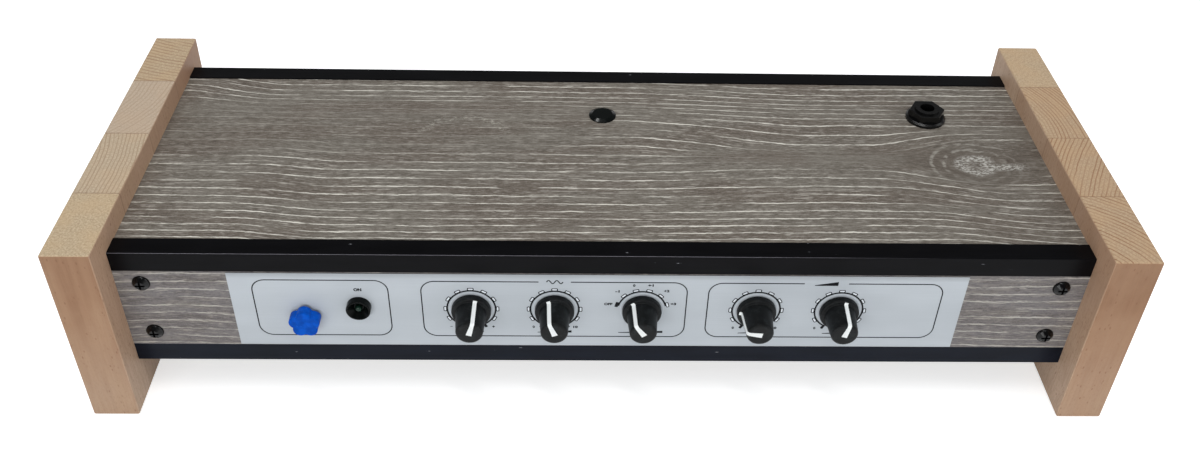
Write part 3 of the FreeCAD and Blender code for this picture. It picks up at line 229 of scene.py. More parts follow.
def make_beech(name, joints, tones, paleness, ring_middles, ring_spacings, ring_strengths,
               side_colour, side_shade, top_shade):
    """Glued beech staves with upright grain: flecked long grain, growth rings on the end grain.

    The joints are the Y places where the staves meet. The other lists hold one value for each
    stave, from the front one to the rear one: how far it is reddened, how far its end grain is
    paled, and its rings. High up, the sides darken between the two Y places of side_shade, and
    top_shade darkens the front face towards its upper end: both are painted shade. Towards the
    foot the long grain is made paler: painted light.
    """
    shader = Shader(name, srgb(175, 142, 115), 0.55, Specular_IOR_Level=0.2)
    x, y, z = shader.place()
    facing = shader.facing()
    upward, sideways = facing[2].size().step(0.45, 0.8), facing[0].size().step(0.5, 0.8)
    past = [y.above(joint) for joint in joints]

    def by_stave(values):
        total = past[0] * (values[1] - values[0]) + values[0]
        for step, before, after in zip(past[1:], values[1:], values[2:]):
            total = total + step * (after - before)
        return total

    tone = by_stave(tones)
    shift = by_stave([7.3 * stave for stave in range(len(tones))])
    cloud = shader.noise(x / 14, y / 14 + shift, z / 24, detail=3)
    speck = shader.noise(x / 0.75, y / 0.75, z / 1.6, detail=2, roughness=0.7)

    # End grain: rings about a middle outside the stave, broken into fine dots by the pores
    across = x - by_stave([middle[0] for middle in ring_middles])
    along = y - by_stave([middle[1] for middle in ring_middles])
    wobble = shader.noise(x / 14, y / 14, shift, detail=2)
    distance = (across * across + along * along).root() + wobble * 1.6
    rings = distance / by_stave(ring_spacings)
    ring = rings.fraction()
    year = shader.noise(rings.floor() * 3.7, shift, x / 16, detail=1)
    year = year.step(0.32, 0.62) * 0.75 + 0.25
    late_wood = ring.step(0.50, 0.78) * (1 - ring.step(0.82, 0.98))
    dots = shader.noise(x / 0.8, y / 0.9, 2.0, detail=3, roughness=0.75)
    ring_show = late_wood * year * by_stave(ring_strengths) * (dots.step(0.25, 0.60) * 0.85 + 0.15)
    end_pale = shader.mix(dots.step(0.30, 0.70), srgb(170, 147, 118), srgb(207, 189, 159))
    end_pale = shader.mix(cloud.step(0.35, 0.7) * 0.40, end_pale, srgb(202, 172, 134))
    end_pale = shader.mix(by_stave(paleness), end_pale, srgb(190, 176, 168))
    end_grain = shader.mix(ring_show, end_pale, srgb(128, 86, 56))
    pore = shader.noise(x / 0.7, y / 1.1, 5.0, detail=2, roughness=0.7).step(0.60, 0.72)
    end_grain = shader.mix(pore * 0.30, end_grain, srgb(132, 100, 72))

    # Long grain: slow streaks up the board, short dark ray flecks and a fine sawn speckle
    streak = shader.noise(x / 5 + shift, y / 4, z / 90, detail=3, roughness=0.55)
    fine_streak = shader.noise(x / 0.8, y / 0.8 + shift, z / 14, detail=2)
    long_pale = shader.mix(streak.step(0.3, 0.7), srgb(142, 106, 80), srgb(160, 125, 97))
    # Painted light: the long grain is made paler towards the foot.
    long_pale = shader.mix((1 - z.step(0, 66)) * 0.55, long_pale, srgb(186, 164, 142))
    # Painted shade: the front face darkens towards its upper end by top_shade.
    long_pale = shader.mix(z.step(24, 84) * top_shade, long_pale, srgb(100, 72, 52))
    # Painted shade: high up, the sides darken between the two Y places of side_shade.
    shaded = y.step(*side_shade) * z.step(35, 80) * 0.32
    side_pale = shader.mix(shaded, side_colour, srgb(120, 66, 36))
    # Painted light: the sides are made paler towards the foot.
    side_pale = shader.mix((1 - z.step(0, 50)) * 0.40, side_pale, srgb(232, 208, 184))
    # The sides take their own paler colour: partly the face grain's own tone, partly painted light.
    long_pale = shader.mix(sideways * 0.85, long_pale, side_pale)
    long_pale = shader.mix(cloud.step(0.35, 0.7) * 0.4, long_pale, srgb(176, 146, 118))
    long_grain = shader.mix(fine_streak.step(0.35, 0.8) * 0.35, long_pale, srgb(154, 119, 93))
    long_grain = shader.mix(speck.step(0.50, 0.72) * 0.35, long_grain, srgb(150, 116, 91))
    flecks = shader.cells(x / 1.7, y / 1.3 + shift, z / 3.6)
    fleck = (1 - flecks.step(0.12, 0.26)) * shader.noise(x / 6, y / 6, z / 13).step(0.40, 0.58)
    long_grain = shader.mix(fleck * 0.5, long_grain, srgb(124, 86, 63))

    wood = shader.mix(upward, long_grain, end_grain)
    nearest = (y - joints[0]).size()
    for joint in joints[1:]:
        nearest = nearest.least((y - joint).size())
    seam = shader.noise(x / 2.2, y, z / 5, detail=2).step(0.25, 0.55)
    glue_line = (1 - nearest.step(0.10, 0.34)) * (seam * 0.35 + 0.25)
    wood = shader.mix(glue_line, wood, srgb(108, 76, 54))
    tone = tone * (upward.most(sideways) * 0.5 + 0.5)
    shader.colour(shader.mix(tone, wood, srgb(160, 110, 78)))
    shader.roughness(dots * 0.15 + upward * 0.14 + 0.45)
    shader.bump(dots * 0.3 + speck * 0.3 - late_wood * upward * 0.3 - fleck * 0.6 - glue_line, 0.05)
    return shader.material


# How close the top board's white lines lie: lines per millimetre at its middle, and how fast that
# grows with the square of the distance from the middle, everywhere and on the front half as well
LINE_RATE = 0.165
LINE_CROWDING = 1.1e-5
FRONT_CROWDING = 2.1e-5


def make_limed_oak(name, seed, flow=None, calm=None, knot=None, spacing=5.2, whiteness=1.0,
                   greyness=0.0, contrast=1.0):
    """Grey oak-print laminate: broken white lines of filled grain along X, over short dashes.

    flow moves the lines sideways, calm thins them out, and knot draws a knot's pale heart. Each of
    them takes the place along and across the grain, in millimetres, and the last two the shader.
    """
    shader = Shader(name, srgb(122, 117, 110), 0.55, Specular_IOR_Level=0.15)
    x, y, z = shader.place()
    along, across = x + seed * 137.0, y + z
    grain = flow(x, y) if flow else across
    sway = shader.noise(along / 75, across / 40, seed, detail=1) - 0.5
    ripple = shader.noise(along / 21, across / 9, seed + 3.1, detail=2) - 0.5
    grain = grain + sway * (2.2 if flow else 7.0) + ripple * 1.5

    # White filled lines: each has its own strength along the board, a wandering edge and gaps
    if flow:
        closer = grain.below(0) * FRONT_CROWDING + LINE_CROWDING
        turns = grain * (grain * grain * closer * (1 / 3) + LINE_RATE)
        spread = 1 / (grain * grain * closer + LINE_RATE)
    else:
        turns, spread = grain / spacing, spacing
    own = (turns + 0.5).floor()
    jag = shader.noise(along / 3.4, own * 7.7, seed + 4.0, detail=3, roughness=0.6) - 0.5
    off_line = ((turns + 0.5).fraction() - 0.5) * spread + jag * 0.95
    swell = shader.noise(along / 7, own * 3.3, seed + 5.0, detail=3, roughness=0.6)
    presence = shader.noise(along / 38, own * 5.1, seed + 6.0, detail=3, roughness=0.58)
    thickness = swell * 0.60 + presence * 0.30 - 0.32
    line = 1 - (off_line.size() - thickness).step(-0.06, 0.26)
    line = line * presence.step(0.35, 0.50) * (swell.step(0.28, 0.58) * 0.55 + 0.45)
    fine_place = grain * 0.62 + own * 0.37
    fine_own = fine_place.floor()
    fine_off = (fine_place.fraction() - 0.5).size() + (jag * 0.5)
    fine = (1 - fine_off.step(0.06, 0.24)) * shader.noise(
        along / 11, fine_own * 9.1, seed + 9.0, detail=3, roughness=0.6).step(0.51, 0.63)
    if calm:
        strength = calm(shader, x, y)
        line = line * strength
        fine = fine * (strength * 0.5 + 0.5)

    # The board's own tone: broad brown and grey patches, then short dashes and the print's grain
    patch = shader.noise(along / 62, across / 15, seed + 60.0, detail=3)
    band = shader.noise(along / 30, grain / 2.6, seed + 70.0, detail=3, roughness=0.6)
    hairs = shader.noise(along / 3.6, grain / 0.6, seed + 41.0, detail=3, roughness=0.65)
    pores = shader.noise(along / 2.2, grain / 0.5, seed + 51.0, detail=2, roughness=0.6)
    speck = shader.noise(along / 0.7, across / 0.7, seed + 81.0, detail=1)
    brown = between(greyness, srgb(104, 95, 86), srgb(106, 102, 104))
    pale = between(greyness, srgb(114, 108, 99), srgb(116, 113, 116))
    tone = shader.mix(patch.step(0.38, 0.60), brown, pale)
    tone = shader.mix(band.step(0.46, 0.70) * 0.40, tone, srgb(135, 129, 119))
    tone = shader.mix(band.step(0.50, 0.30) * 0.40, tone, srgb(80, 72, 64))
    tone = shader.mix(hairs.step(0.50, 0.64) * (0.50 * contrast), tone, srgb(158, 152, 143))
    tone = shader.mix(hairs.step(0.47, 0.34) * (0.50 * contrast), tone, srgb(68, 61, 54))
    tone = shader.mix(pores.step(0.42, 0.28) * (0.55 * contrast), tone, srgb(60, 54, 48))
    tone = shader.mix(speck.step(0.50, 0.80) * 0.30, tone, srgb(150, 144, 135))
    tone = shader.mix(fine * (0.55 * contrast), tone, srgb(190, 184, 174))
    colour = shader.mix(line * (0.95 * whiteness), tone, srgb(226, 222, 210))
    raised = line + fine * 0.4
    if knot:
        colour, raised = knot(shader, x, y, colour, raised)
    shader.colour(colour)
    shader.roughness(band * 0.08 - line * 0.08 + 0.56)
    shader.bump(raised * 0.5 - pores.step(0.42, 0.24) * 0.5 + hairs * 0.3, 0.04)
    return shader.material


# Where the top board's grain bends: its quiet middle line, and the knot at its right-hand end
QUIET_Y = 1.0
KNOT = (163.0, -3.0)


def top_board_flow(x, y):
    """The grain line that passes a place: a step down at the left, then lines drawn together before
    the knot and pushed apart round it."""
    step = x.step(-152, -112) * (1 - y.step(-4, 34)) * 3.9
    rear_slope = x.step(-196, -148) * y.step(28, 52) * 8.5
    off = y - QUIET_Y
    wide = off.size()
    side = off / (off * off + 12).root()
    rear = side * 0.5 + 0.5
    gather = x.step(8, 92) * (rear * 7.6 + 3.0) / ((off / 46).power(2) + 1)
    push = (x - wide * 0.5).step(112, 162) * 10 / ((off / 70).power(2) + 1)
    push = push * (1 - rear * wide.step(17, 28))
    return y + step + rear_slope + side * (gather - push)


def top_board_calm(shader, x, y):
    """How strong the white lines are: weak at the middle left and on the way to the knot."""
    mottle = shader.noise(x / 30, y / 14, 3.0, detail=2) * 16 - 8
    left_middle = (1 - (x + mottle).step(-40, 30)) * (y + mottle).step(-6, 8)
    left_middle = left_middle * (1 - (y - mottle).step(38, 50))
    quiet = (x - mottle).step(18, 48) * (1 - (y - QUIET_Y).size().step(6, 10))
    knot_x, knot_y = KNOT
    around = ((x - knot_x - 5) / 34).power(2) + ((y - knot_y - 3) / 19).power(2)
    heart = 1 - around.step(0.60, 1.0)
    return (1 - left_middle * 0.80) * (1 - quiet * 0.85) * (1 - heart)


def top_board_knot(shader, x, y, colour, raised):
    """The knot: a mottled pale heart with a tail, inside broken rings. The wood darkens towards it.
    On the left half there is a small pale arch."""
    knot_x, knot_y = KNOT
    wander = shader.noise(x / 8, y / 6, 4.0, detail=3) - 0.5
    across = (x - knot_x) / 10.5 + wander * 0.5
    up = (y - knot_y) / 9.0 + wander * 0.5
    radius = (across * across + up * up).root()
    heart = (1 - radius.step(0.66, 1.02)) * (radius.step(0.10, 0.62) * 0.70 + 0.30)
    tail = (1 - ((y - knot_y + 0.9) / 3.2 + wander).size().step(0.4, 1.1)) * x.step(166, 171) * (
        1 - x.step(180, 188))
    speckle = shader.noise(x / 1.7, y / 1.0, 8.0, detail=4, roughness=0.75)
    white = heart.most(tail * 0.9) * speckle.step(0.42, 0.60)
    turns = (radius * 1.9 + wander * 0.5).fraction()
    rings = (1 - (turns - 0.5).size().step(0.06, 0.22)) * radius.step(1.0, 1.15)
    rings = rings * (1 - radius.step(1.8, 2.1))
    broken = shader.noise(x / 4, y / 2, 12.0, detail=3).step(0.40, 0.56)
    upper_left = (up - across * 0.6).step(-0.1, 1.0)
    near = 1 - radius.step(1.2, 2.6)
    ahead = (1 - (y - QUIET_Y).size().step(3, 11)) * x.step(118, 142) * 0.8
    # The wood darkens near the knot and ahead of it, as the board's own tone; the darkening towards
    # the right, from x 50 to 150, is painted shade.
    shadow = near.most(ahead).most(x.step(50, 150) * 0.28)
    colour = shader.mix(shadow * 0.50, colour, srgb(88, 80, 72))
    colour = shader.mix(rings * broken * (upper_left * 0.32 + 0.22), colour, srgb(172, 168, 158))
    colour = shader.mix(white * 0.80, colour, srgb(206, 204, 196))

    # The small pale arch on the left half
    arch_x, arch_y = (x + 62) / 18 + wander * 0.3, (y - 18) / 13 + wander * 0.3
    band = 1 - ((arch_x * arch_x + arch_y * arch_y).root() - 1).size().step(0.05, 0.22)
    arch = band * y.step(17, 21) * speckle.step(0.46, 0.60) * broken
    colour = shader.mix(arch * 0.55, colour, srgb(188, 184, 172))
    return colour, raised + white * 0.5


def make_pine():
    """Planed softwood for the hidden battens, with upright rings."""
    shader = Shader("pine", srgb(214, 180, 132), 0.65)
    x, y, z = shader.place()
    wobble = shader.noise(x / 12, y / 12, z / 60, detail=2)
    ring = ((x * 0.8 + y * 0.6) / 3.1 + wobble * 2).fraction()
    shader.colour(shader.mix(ring.step(0.5, 0.95) * 0.7, srgb(222, 192, 146), srgb(184, 134, 82)))
    shader.bump(ring, 0.03)
    return shader.material


# -------- materials: metal and plastic

def make_black_profile(name, tint, shine):
    """Black anodised edge profile, drawn lengthwise and nicked, with a painted highlight along its
    outer corner that fades out to the right and painted shade on the faces that look down.
    """
    shader = Shader(name, tint, 0.3, Specular_IOR_Level=shine)
    x, y, z = shader.place()
    _, forward, upward = shader.facing()
    drawn = shader.noise(x / 90, y / 0.35, z / 0.35, detail=3)
    cloud = shader.noise(x / 22, y / 6, z / 6, detail=2)
    nicks = shader.cells(x / 23, y / 4.3, z / 4.3)
    chipped = shader.noise(x / 1.2, y, z / 0.5, detail=2)
    nick = (1 - nicks.step(0.030, 0.055)) * chipped.step(0.45, 0.6)
    # Painted highlight: a pale line along the rounded outer corner, fading out towards the right.
    corner = forward.size().step(0.50, 0.66) * upward.step(0.50, 0.66)
    lightening = corner * (1 - (x + cloud * 60).step(70, 170)) * 0.85
    base = shader.mix(cloud.step(0.3, 0.7), tint, scaled(tint, 1.35))
    base = shader.mix(lightening, base, srgb(134, 132, 140))
    # Painted shade: faces that look down are made almost black.
    base = shader.mix((upward * -1).step(0.1, 0.5), base, srgb(2, 2, 3))
    shader.colour(shader.mix(nick * 0.8, base, srgb(150, 152, 158)))
    shader.roughness(drawn * 0.10 + cloud * 0.08 + 0.22)
    shader.bump(drawn * 0.3 - nick, 0.02)
    return shader.material


def make_plain_plastic(name, colour, roughness, grain=0.35, depth=0.01, **sockets):
    """Moulded plastic: a faint cloud in its colour and a fine grain in its skin."""
    shader = Shader(name, colour, roughness, **sockets)
    x, y, z = shader.place()
    cloud = shader.noise(x / 7, y / 7, z / 7, detail=3)
    skin = shader.noise(x / grain, y / grain, z / grain, detail=2)
    shader.colour(shader.mix(cloud.step(0.3, 0.7), colour, scaled(colour, 0.82)))
    shader.roughness(skin * 0.10 + cloud * 0.08 + (roughness - 0.09))
    shader.bump(skin, depth)
    return shader.material


def make_knob_plastic(name):
    """Matt black knob plastic, a little dusty, with the pointer filled in white."""
    shader = Shader(f"{name}_knob_plastic", srgb(30, 33, 34), 0.45, Specular_IOR_Level=0.15)
    x, y, z = shader.place()
    axis_x, axis_z = dial_axis(name)
    turn = math.radians(POINTER_TURNS[name])
    right, up = x - axis_x, z - axis_z
    across = right * math.cos(turn) - up * math.sin(turn)
    along = right * math.sin(turn) + up * math.cos(turn)
    reach = PANEL_FRONT - y
    widening = (POINTER_TAIL_WIDTH - POINTER_WIDTH) / 2 / (POINTER_FLARE + POINTER_TAIL)
    half = ((POINTER_FLARE - along) * widening).most(0) + POINTER_WIDTH / 2
    pointer = (across.size().below(half + PAINT_MARGIN) * along.above(-POINTER_TAIL - PAINT_MARGIN)
               * reach.above(PANEL_FRONT - LABEL_FRONT + POINTER_FOOT))
    dust = shader.noise(x / 2.5, y / 2.5, z / 2.5, detail=5, roughness=0.7)
    skin = shader.noise(x / 0.3, y / 0.3, z / 0.3, detail=2)
    black = shader.mix(dust.step(0.45, 0.75), srgb(11, 13, 14), srgb(31, 35, 36))
    paint = shader.mix(dust.step(0.55, 0.8) * 0.4, srgb(232, 235, 234), srgb(196, 200, 200))
    shader.colour(shader.mix(pointer, black, paint))
    shader.roughness(dust * 0.22 + skin * 0.06 + 0.30)
    shader.bump(skin, 0.008)
    return shader.material


def make_blue_plastic():
    """The star knob's bright blue, satin, with a light scuff on its face."""
    shader = Shader("blue_plastic", srgb(4, 78, 190), 0.38, Specular_IOR_Level=0.06)
    x, y, z = shader.place()
    cloud = shader.noise(x / 3, y / 3, z / 3, detail=3)
    scuff = shader.noise(x / 0.35 + z / 0.5, y, z / 2.2, detail=3).step(0.66, 0.74)
    base = shader.mix(cloud.step(0.3, 0.7), srgb(0, 66, 160), srgb(2, 84, 192))
    shader.colour(shader.mix(scuff * 0.35, base, srgb(92, 148, 240)))
    shader.roughness(cloud * 0.12 + scuff * 0.2 + 0.30)
    shader.bump(cloud - scuff * 0.4, 0.02)
    return shader.material


FILM_COLOUR = srgb(187, 193, 199)


def make_label_film():
    """The silver-blue panel film: fine lengthwise brushing under a satin skin. Its top darkens as a
    painted shadow of the edge profile above, and its cut edges are painted near black as shade.
    """
    shader = Shader("label_film", FILM_COLOUR, 0.42, Specular_IOR_Level=0.2)
    x, y, z = shader.place()
    _, _, upward = shader.facing()
    brushing = shader.noise(x / 30, y, z / 0.16, detail=2)
    cloud = shader.noise(x / 40, y, z / 18, detail=2)
    base = shader.mix(cloud.step(0.3, 0.7), srgb(180, 186, 191), srgb(188, 194, 199))
    base = shader.mix(brushing.step(0.3, 0.8) * 0.35, base, srgb(172, 178, 183))
    # Painted shadow: the film darkens over its top 3.2 mm, under the edge profile.
    base = shader.mix(z.step(LABEL_HIGH.z - 3.2, LABEL_HIGH.z) * 0.38, base, srgb(118, 119, 122))
    # Painted shade: the cut edges, facing up and down, are made near black.
    shader.colour(shader.mix(upward.size().step(0.4, 0.8), base, srgb(26, 27, 30)))
    shader.roughness(brushing * 0.08 + 0.36)
    shader.bump(brushing, 0.004)
    return shader.material


def make_print_ink(name, colour):
    """Screen-printed ink, its cover slightly uneven."""
    shader = Shader(name, colour, 0.5, Specular_IOR_Level=0.1)
    x, y, z = shader.place()
    cover = shader.noise(x / 0.6, y, z / 0.6, detail=3)
    thin = between(0.2, colour, FILM_COLOUR)
    shader.colour(shader.mix(cover.step(0.60, 0.9) * 0.5, colour, thin))
    shader.bump(cover, 0.002)
    return shader.material


def make_metal(name, colour, roughness, grain=(1.0, 1.0, 1.0), tarnish=0.25):
    """Bare or plated metal with turning or drawing marks and a little tarnish."""
    shader = Shader(name, colour, roughness, Metallic=1.0)
    x, y, z = shader.place()
    marks = shader.noise(x / (0.3 * grain[0]), y / (0.3 * grain[1]), z / (0.3 * grain[2]), detail=2)
    dull = shader.noise(x / 4, y / 4, z / 4, detail=3)
    shader.colour(shader.mix(dull.step(0.4, 0.8) * tarnish, colour, scaled(colour, 0.6)))
    shader.roughness(marks * 0.16 + dull * 0.12 + (roughness - 0.14))
    shader.bump(marks, 0.006)
    return shader.material


def make_screw_black():
    """Blackened steel screw heads: glossy, with faint paler worn patches."""
    shader = Shader("screw_black", srgb(9, 9, 10), 0.14, Specular_IOR_Level=0.25)
    x, y, z = shader.place()
    lightening = shader.noise(x / 0.8, y / 0.8, z / 0.8, detail=3)
    shader.colour(shader.mix(lightening.step(0.5, 0.8) * 0.5, srgb(7, 7, 8), srgb(20, 20, 22)))
    shader.roughness(lightening * 0.12 + 0.06)
    shader.bump(lightening, 0.01)
    return shader.material


def make_lens_green():
    """The unlit lamp: dark green tinted plastic with a clear skin."""
    shader = Shader("lens_green", srgb(8, 28, 19), 0.16, Specular_IOR_Level=0.2, Coat_Weight=0.08,
                    Coat_Roughness=0.05)
    x, y, z = shader.place()
    depth = shader.noise(x / 1.4, y / 1.4, z / 1.4, detail=2)
    shader.colour(shader.mix(depth.step(0.35, 0.7), srgb(4, 17, 11), srgb(14, 44, 31)))
    return shader.material


def make_circuit_green():
    """Solder mask over copper tracks, with bare pads along a grid."""
    shader = Shader("circuit_green", srgb(24, 84, 44), 0.35, Coat_Weight=0.3)
    x, y, z = shader.place()
    pitch = 2.54
    pad_x = (x / pitch).fraction() - 0.5
    pad_y = (y / pitch).fraction() - 0.5
    pad = 1 - (pad_x * pad_x + pad_y * pad_y).root().step(0.24, 0.28)
    present = shader.cells(x / 17, y / 9).step(0.42, 0.44)
    track = shader.noise(x / 24, y / 2.6, detail=0).step(0.52, 0.55)
    mask = shader.mix(track, srgb(20, 74, 38), srgb(34, 104, 56))
    shader.colour(shader.mix(pad * (1 - present) * 0.9, mask, srgb(196, 190, 170)))
    shader.bump(track, 0.03)
    return shader.material


def make_copper_winding():
    """Turns of enamelled copper wire round a choke."""
    shader = Shader("copper_winding", srgb(176, 98, 48), 0.3, Metallic=0.8)
    x, y, z = shader.place()
    turn = (z / 0.45 + shader.noise(x / 3, y / 3, z / 3) * 0.4).fraction() - 0.5
    groove = turn.size() * 2
    # Painted shade: the colour darkens into the grooves between the turns.
    shader.colour(shader.mix(groove.step(0.5, 1.0), srgb(186, 106, 52), srgb(98, 48, 22)))
    shader.bump(1 - groove, 0.2)
    return shader.material


def make_wire_insulation():
    """Insulation in one of four colours for each wire, chosen by where the wire stands."""
    shader = Shader("wire_insulation", srgb(150, 30, 24), 0.4)
    x, y, z = shader.place()
    first = (x / 5).nearest()
    pick = shader.noise(first * 1.37, 0.5, detail=0)
    warm = shader.mix(pick.step(0.45, 0.5), srgb(150, 26, 20), srgb(214, 168, 40))
    cool = shader.mix(pick.step(0.55, 0.6), srgb(28, 28, 30), srgb(36, 84, 150))
    shader.colour(shader.mix(pick.above(0.52), warm, cool))
    shader.bump(shader.noise(x / 0.4, y / 0.4, z / 0.4), 0.01)
    return shader.material


# -------- dressing the CAD nodes

def dress(material, *names):
    """Give the named nodes this material and no other."""
    for name in names:
        slots = NODES[name].data.materials
        slots.clear()
        slots.append(material)


def named(ending):
    """The names of all nodes that end in this way."""
    return [name for name in NODES if name.endswith(ending)]


def dress_case():
    dress(make_beech("beech_left", joints=(-41.2, 0.9, 42.9), tones=(0.02, 0.0, 0.04, 0.10),
                     paleness=(0.0, 0.18, 0.35, 0.0),
                     ring_middles=((-150, -20), (-355, -30), (-256, 42), (-166, 174)),
                     ring_spacings=(2.6, 1.6, 1.9, 2.3), ring_strengths=(0.06, 0.50, 0.30, 0.75),
                     side_colour=srgb(190, 158, 133), side_shade=(10, 70), top_shade=0.12),
          "left_cheek")
    dress(make_beech("beech_right", joints=(-38.2, 3.9, 45.4), tones=(0.24, 0.28, 0.26, 0.14),
                     paleness=(0.0, 0.0, 0.0, 0.0),
                     ring_middles=((164, -101), (443, -145), (143, 12), (150, 120)),
                     ring_spacings=(2.1, 1.7, 1.7, 3.0), ring_strengths=(1.0, 0.85, 0.90, 0.08),
                     side_colour=srgb(205, 180, 155), side_shade=(-10, -65), top_shade=0.45),
          "right_cheek")
    dress(make_limed_oak("limed_oak_top", 0.0, flow=top_board_flow, calm=top_board_calm,
                         knot=top_board_knot), "top_board")
    dress(make_limed_oak("limed_oak_front", 2.0, spacing=4.2, whiteness=0.50, greyness=0.85,
                         contrast=0.75), "front_board")
    dress(make_limed_oak("limed_oak_rear", 5.0, spacing=4.6, whiteness=0.75, greyness=0.5),
          "rear_board")
    dress(make_limed_oak("limed_oak_bottom", 7.0), "bottom_board")
    dress(make_black_profile("profile_top", srgb(9, 9, 11), 0.06),
          "top_front_edge_profile", "top_rear_edge_profile")
    # The lower profiles are the same black anodising as the upper ones; their bluer, lighter tint
    # is a painted reflection.
    dress(make_black_profile("profile_bottom", srgb(15, 19, 28), 0.08),
          "bottom_front_edge_profile", "bottom_rear_edge_profile")
    dress(make_pine(), *named("_batten"))
    dress(make_label_film(), "front_label")
    dress(make_screw_black(), "panel_screws", "batten_screws", "bottom_board_screws")


def dress_controls():
    for name in POINTER_TURNS:
        dress(make_knob_plastic(name), f"{name}_knob")
    dress(make_blue_plastic(), "power_knob")
    plated = make_metal("zinc_plate", srgb(190, 190, 186), 0.35)
    dress(plated, *named("_pot"), "octave_switch", "power_switch", "control_washers",
          "control_nuts", "power_nut", "board_screws", "dc_inlet_nut")
    dress(make_metal("turned_steel", srgb(200, 200, 198), 0.28, grain=(1, 4, 1)), *named("_shaft"))
    dress(make_plain_plastic("gloss_black", srgb(9, 13, 12), 0.14, grain=0.8, depth=0.003,
                             Specular_IOR_Level=0.2), "hole_plug")
    dress(make_plain_plastic("bezel_black", srgb(6, 9, 8), 0.22, grain=0.8, depth=0.004,
                             Specular_IOR_Level=0.08), "lamp_bezel")
    dress(make_lens_green(), "lamp_led")
    socket = make_plain_plastic("socket_black", srgb(13, 13, 13), 0.24, grain=0.6, depth=0.006,
                                Specular_IOR_Level=0.3)
    dress(socket, "pitch_antenna_socket", "volume_antenna_socket", "output_socket",
          "socket_flanges", "socket_nuts", "dc_inlet")


def dress_electronics():
    dress(make_circuit_green(), "circuit_board")
    dress(make_plain_plastic("natural_nylon", srgb(226, 222, 208), 0.45),
          "board_standoffs", "board_connectors")
    dress(make_metal("drawn_can", srgb(206, 206, 208), 0.30, grain=(1, 1, 5)), "tuned_coils")
    dress(make_copper_winding(), "antenna_chokes")
    dress(make_plain_plastic("epoxy_black", srgb(34, 34, 36), 0.55),
          "integrated_circuits", "voltage_regulator")
    dress(make_plain_plastic("capacitor_sleeve", srgb(26, 34, 74), 0.30), "electrolytic_capacitors")
    dress(make_plain_plastic("capacitor_dip", srgb(156, 62, 30), 0.25), "film_capacitors")
    dress(make_wire_insulation(), "wiring")


# -------- the printed panel

# How far the ink stands proud of the label and reaches into it, and the step to a second print
INK_DEPTH = 0.03
INK_ROOT = 0.01
INK_STEP = 0.01


def on_label(mesh, outline, height):
    """New vertices at the outline's (X, Z) points, this far in front of the label's face."""
    return [mesh.verts.new((x * MM, (LABEL_FRONT - height) * MM, z * MM)) for x, z in outline]


def prism(mesh, outline, front=INK_DEPTH):
    """A thin closed slab on the label over an outline of (X, Z) points."""
    back, face = [on_label(mesh, outline, height) for height in (-INK_ROOT, front)]
    mesh.faces.new(back)
    mesh.faces.new(list(reversed(face)))
    for place in range(len(outline)):
        after = (place + 1) % len(outline)
        mesh.faces.new((back[after], back[place], face[place], face[after]))


def ring(mesh, outer, inner):
    """A thin closed loop on the label between two outlines with as many points each."""
    outer_back, outer_face = [on_label(mesh, outer, height) for height in (-INK_ROOT, INK_DEPTH)]
    inner_back, inner_face = [on_label(mesh, inner, height) for height in (-INK_ROOT, INK_DEPTH)]
    for place in range(len(outer)):
        after = (place + 1) % len(outer)
        for first, second in ((outer_face, inner_face), (inner_back, outer_back),
                              (outer_back, outer_face), (inner_face, inner_back)):
            mesh.faces.new((first[place], first[after], second[after], second[place]))


def printed(name, draw, ink):
    """One printed piece on the label: draw adds its shapes to a mesh."""
    mesh = bmesh.new()
    draw(mesh)
    bmesh.ops.recalc_face_normals(mesh, faces=mesh.faces)
    data = bpy.data.meshes.new(name)
    mesh.to_mesh(data)
    mesh.free()
    piece = bpy.data.objects.new(name, data)
    bpy.context.scene.collection.objects.link(piece)
    data.materials.append(ink)
    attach(piece, "root")


def arc(middle_x, middle_z, radius, start, end, points):
    """Points on an arc; angles are clockwise from upright, in degrees."""
    turns = [math.radians(start + (end - start) * place / (points - 1)) for place in range(points)]
    return [(middle_x + radius * math.sin(turn), middle_z + radius * math.cos(turn))
            for turn in turns]


def rounded_box(left, low, right, high, radius, points=9):
    """A rounded rectangle's outline, clockwise from its upper left corner."""
    corners = ((left + radius, high - radius, -90), (right - radius, high - radius, 0),
               (right - radius, low + radius, 90), (left + radius, low + radius, 180))
    outline = []
    for x, z, start in corners:
        outline += arc(x, z, radius, start, start + 90, points)
    return outline


def open_path(points, width):
    """The outline of a line of this width through the points."""
    left, right = [], []
    for place, point in enumerate(points):
        before = points[max(place - 1, 0)]
        after = points[min(place + 1, len(points) - 1)]
        run = Vector((after[0] - before[0], after[1] - before[1])).normalized()
        left.append((point[0] - run.y * width / 2, point[1] + run.x * width / 2))
        right.append((point[0] + run.y * width / 2, point[1] - run.x * width / 2))
    return left + right[::-1]


def turned_box(middle_x, middle_z, radius, turn, length, depth, rounding):
    """A rounded tick across the scale's radius, its middle at that radius and turn."""
    angle = math.radians(turn)
    outline = rounded_box(-length / 2, -depth / 2, length / 2, depth / 2, rounding, points=4)
    return [(middle_x + across * math.cos(angle) + (radius + out) * math.sin(angle),
             middle_z - across * math.sin(angle) + (radius + out) * math.cos(angle))
            for across, out in outline]


# Group frames: left, low, right, high, and the gap in the upper line for a heading
FRAME_LINE = 0.48
FRAME_CORNER = 5.5
CORNER_POINTS = 13
FRAMES = {
    "power": (-141.2, 34.2, -87.3, 64.2, None),
    "pitch": (-74.2, 34.0, 32.7, 63.9, (-27.1, -14.2)),
    "volume": (41.4, 34.1, 136.4, 63.8, (79.6, 97.5)),
}

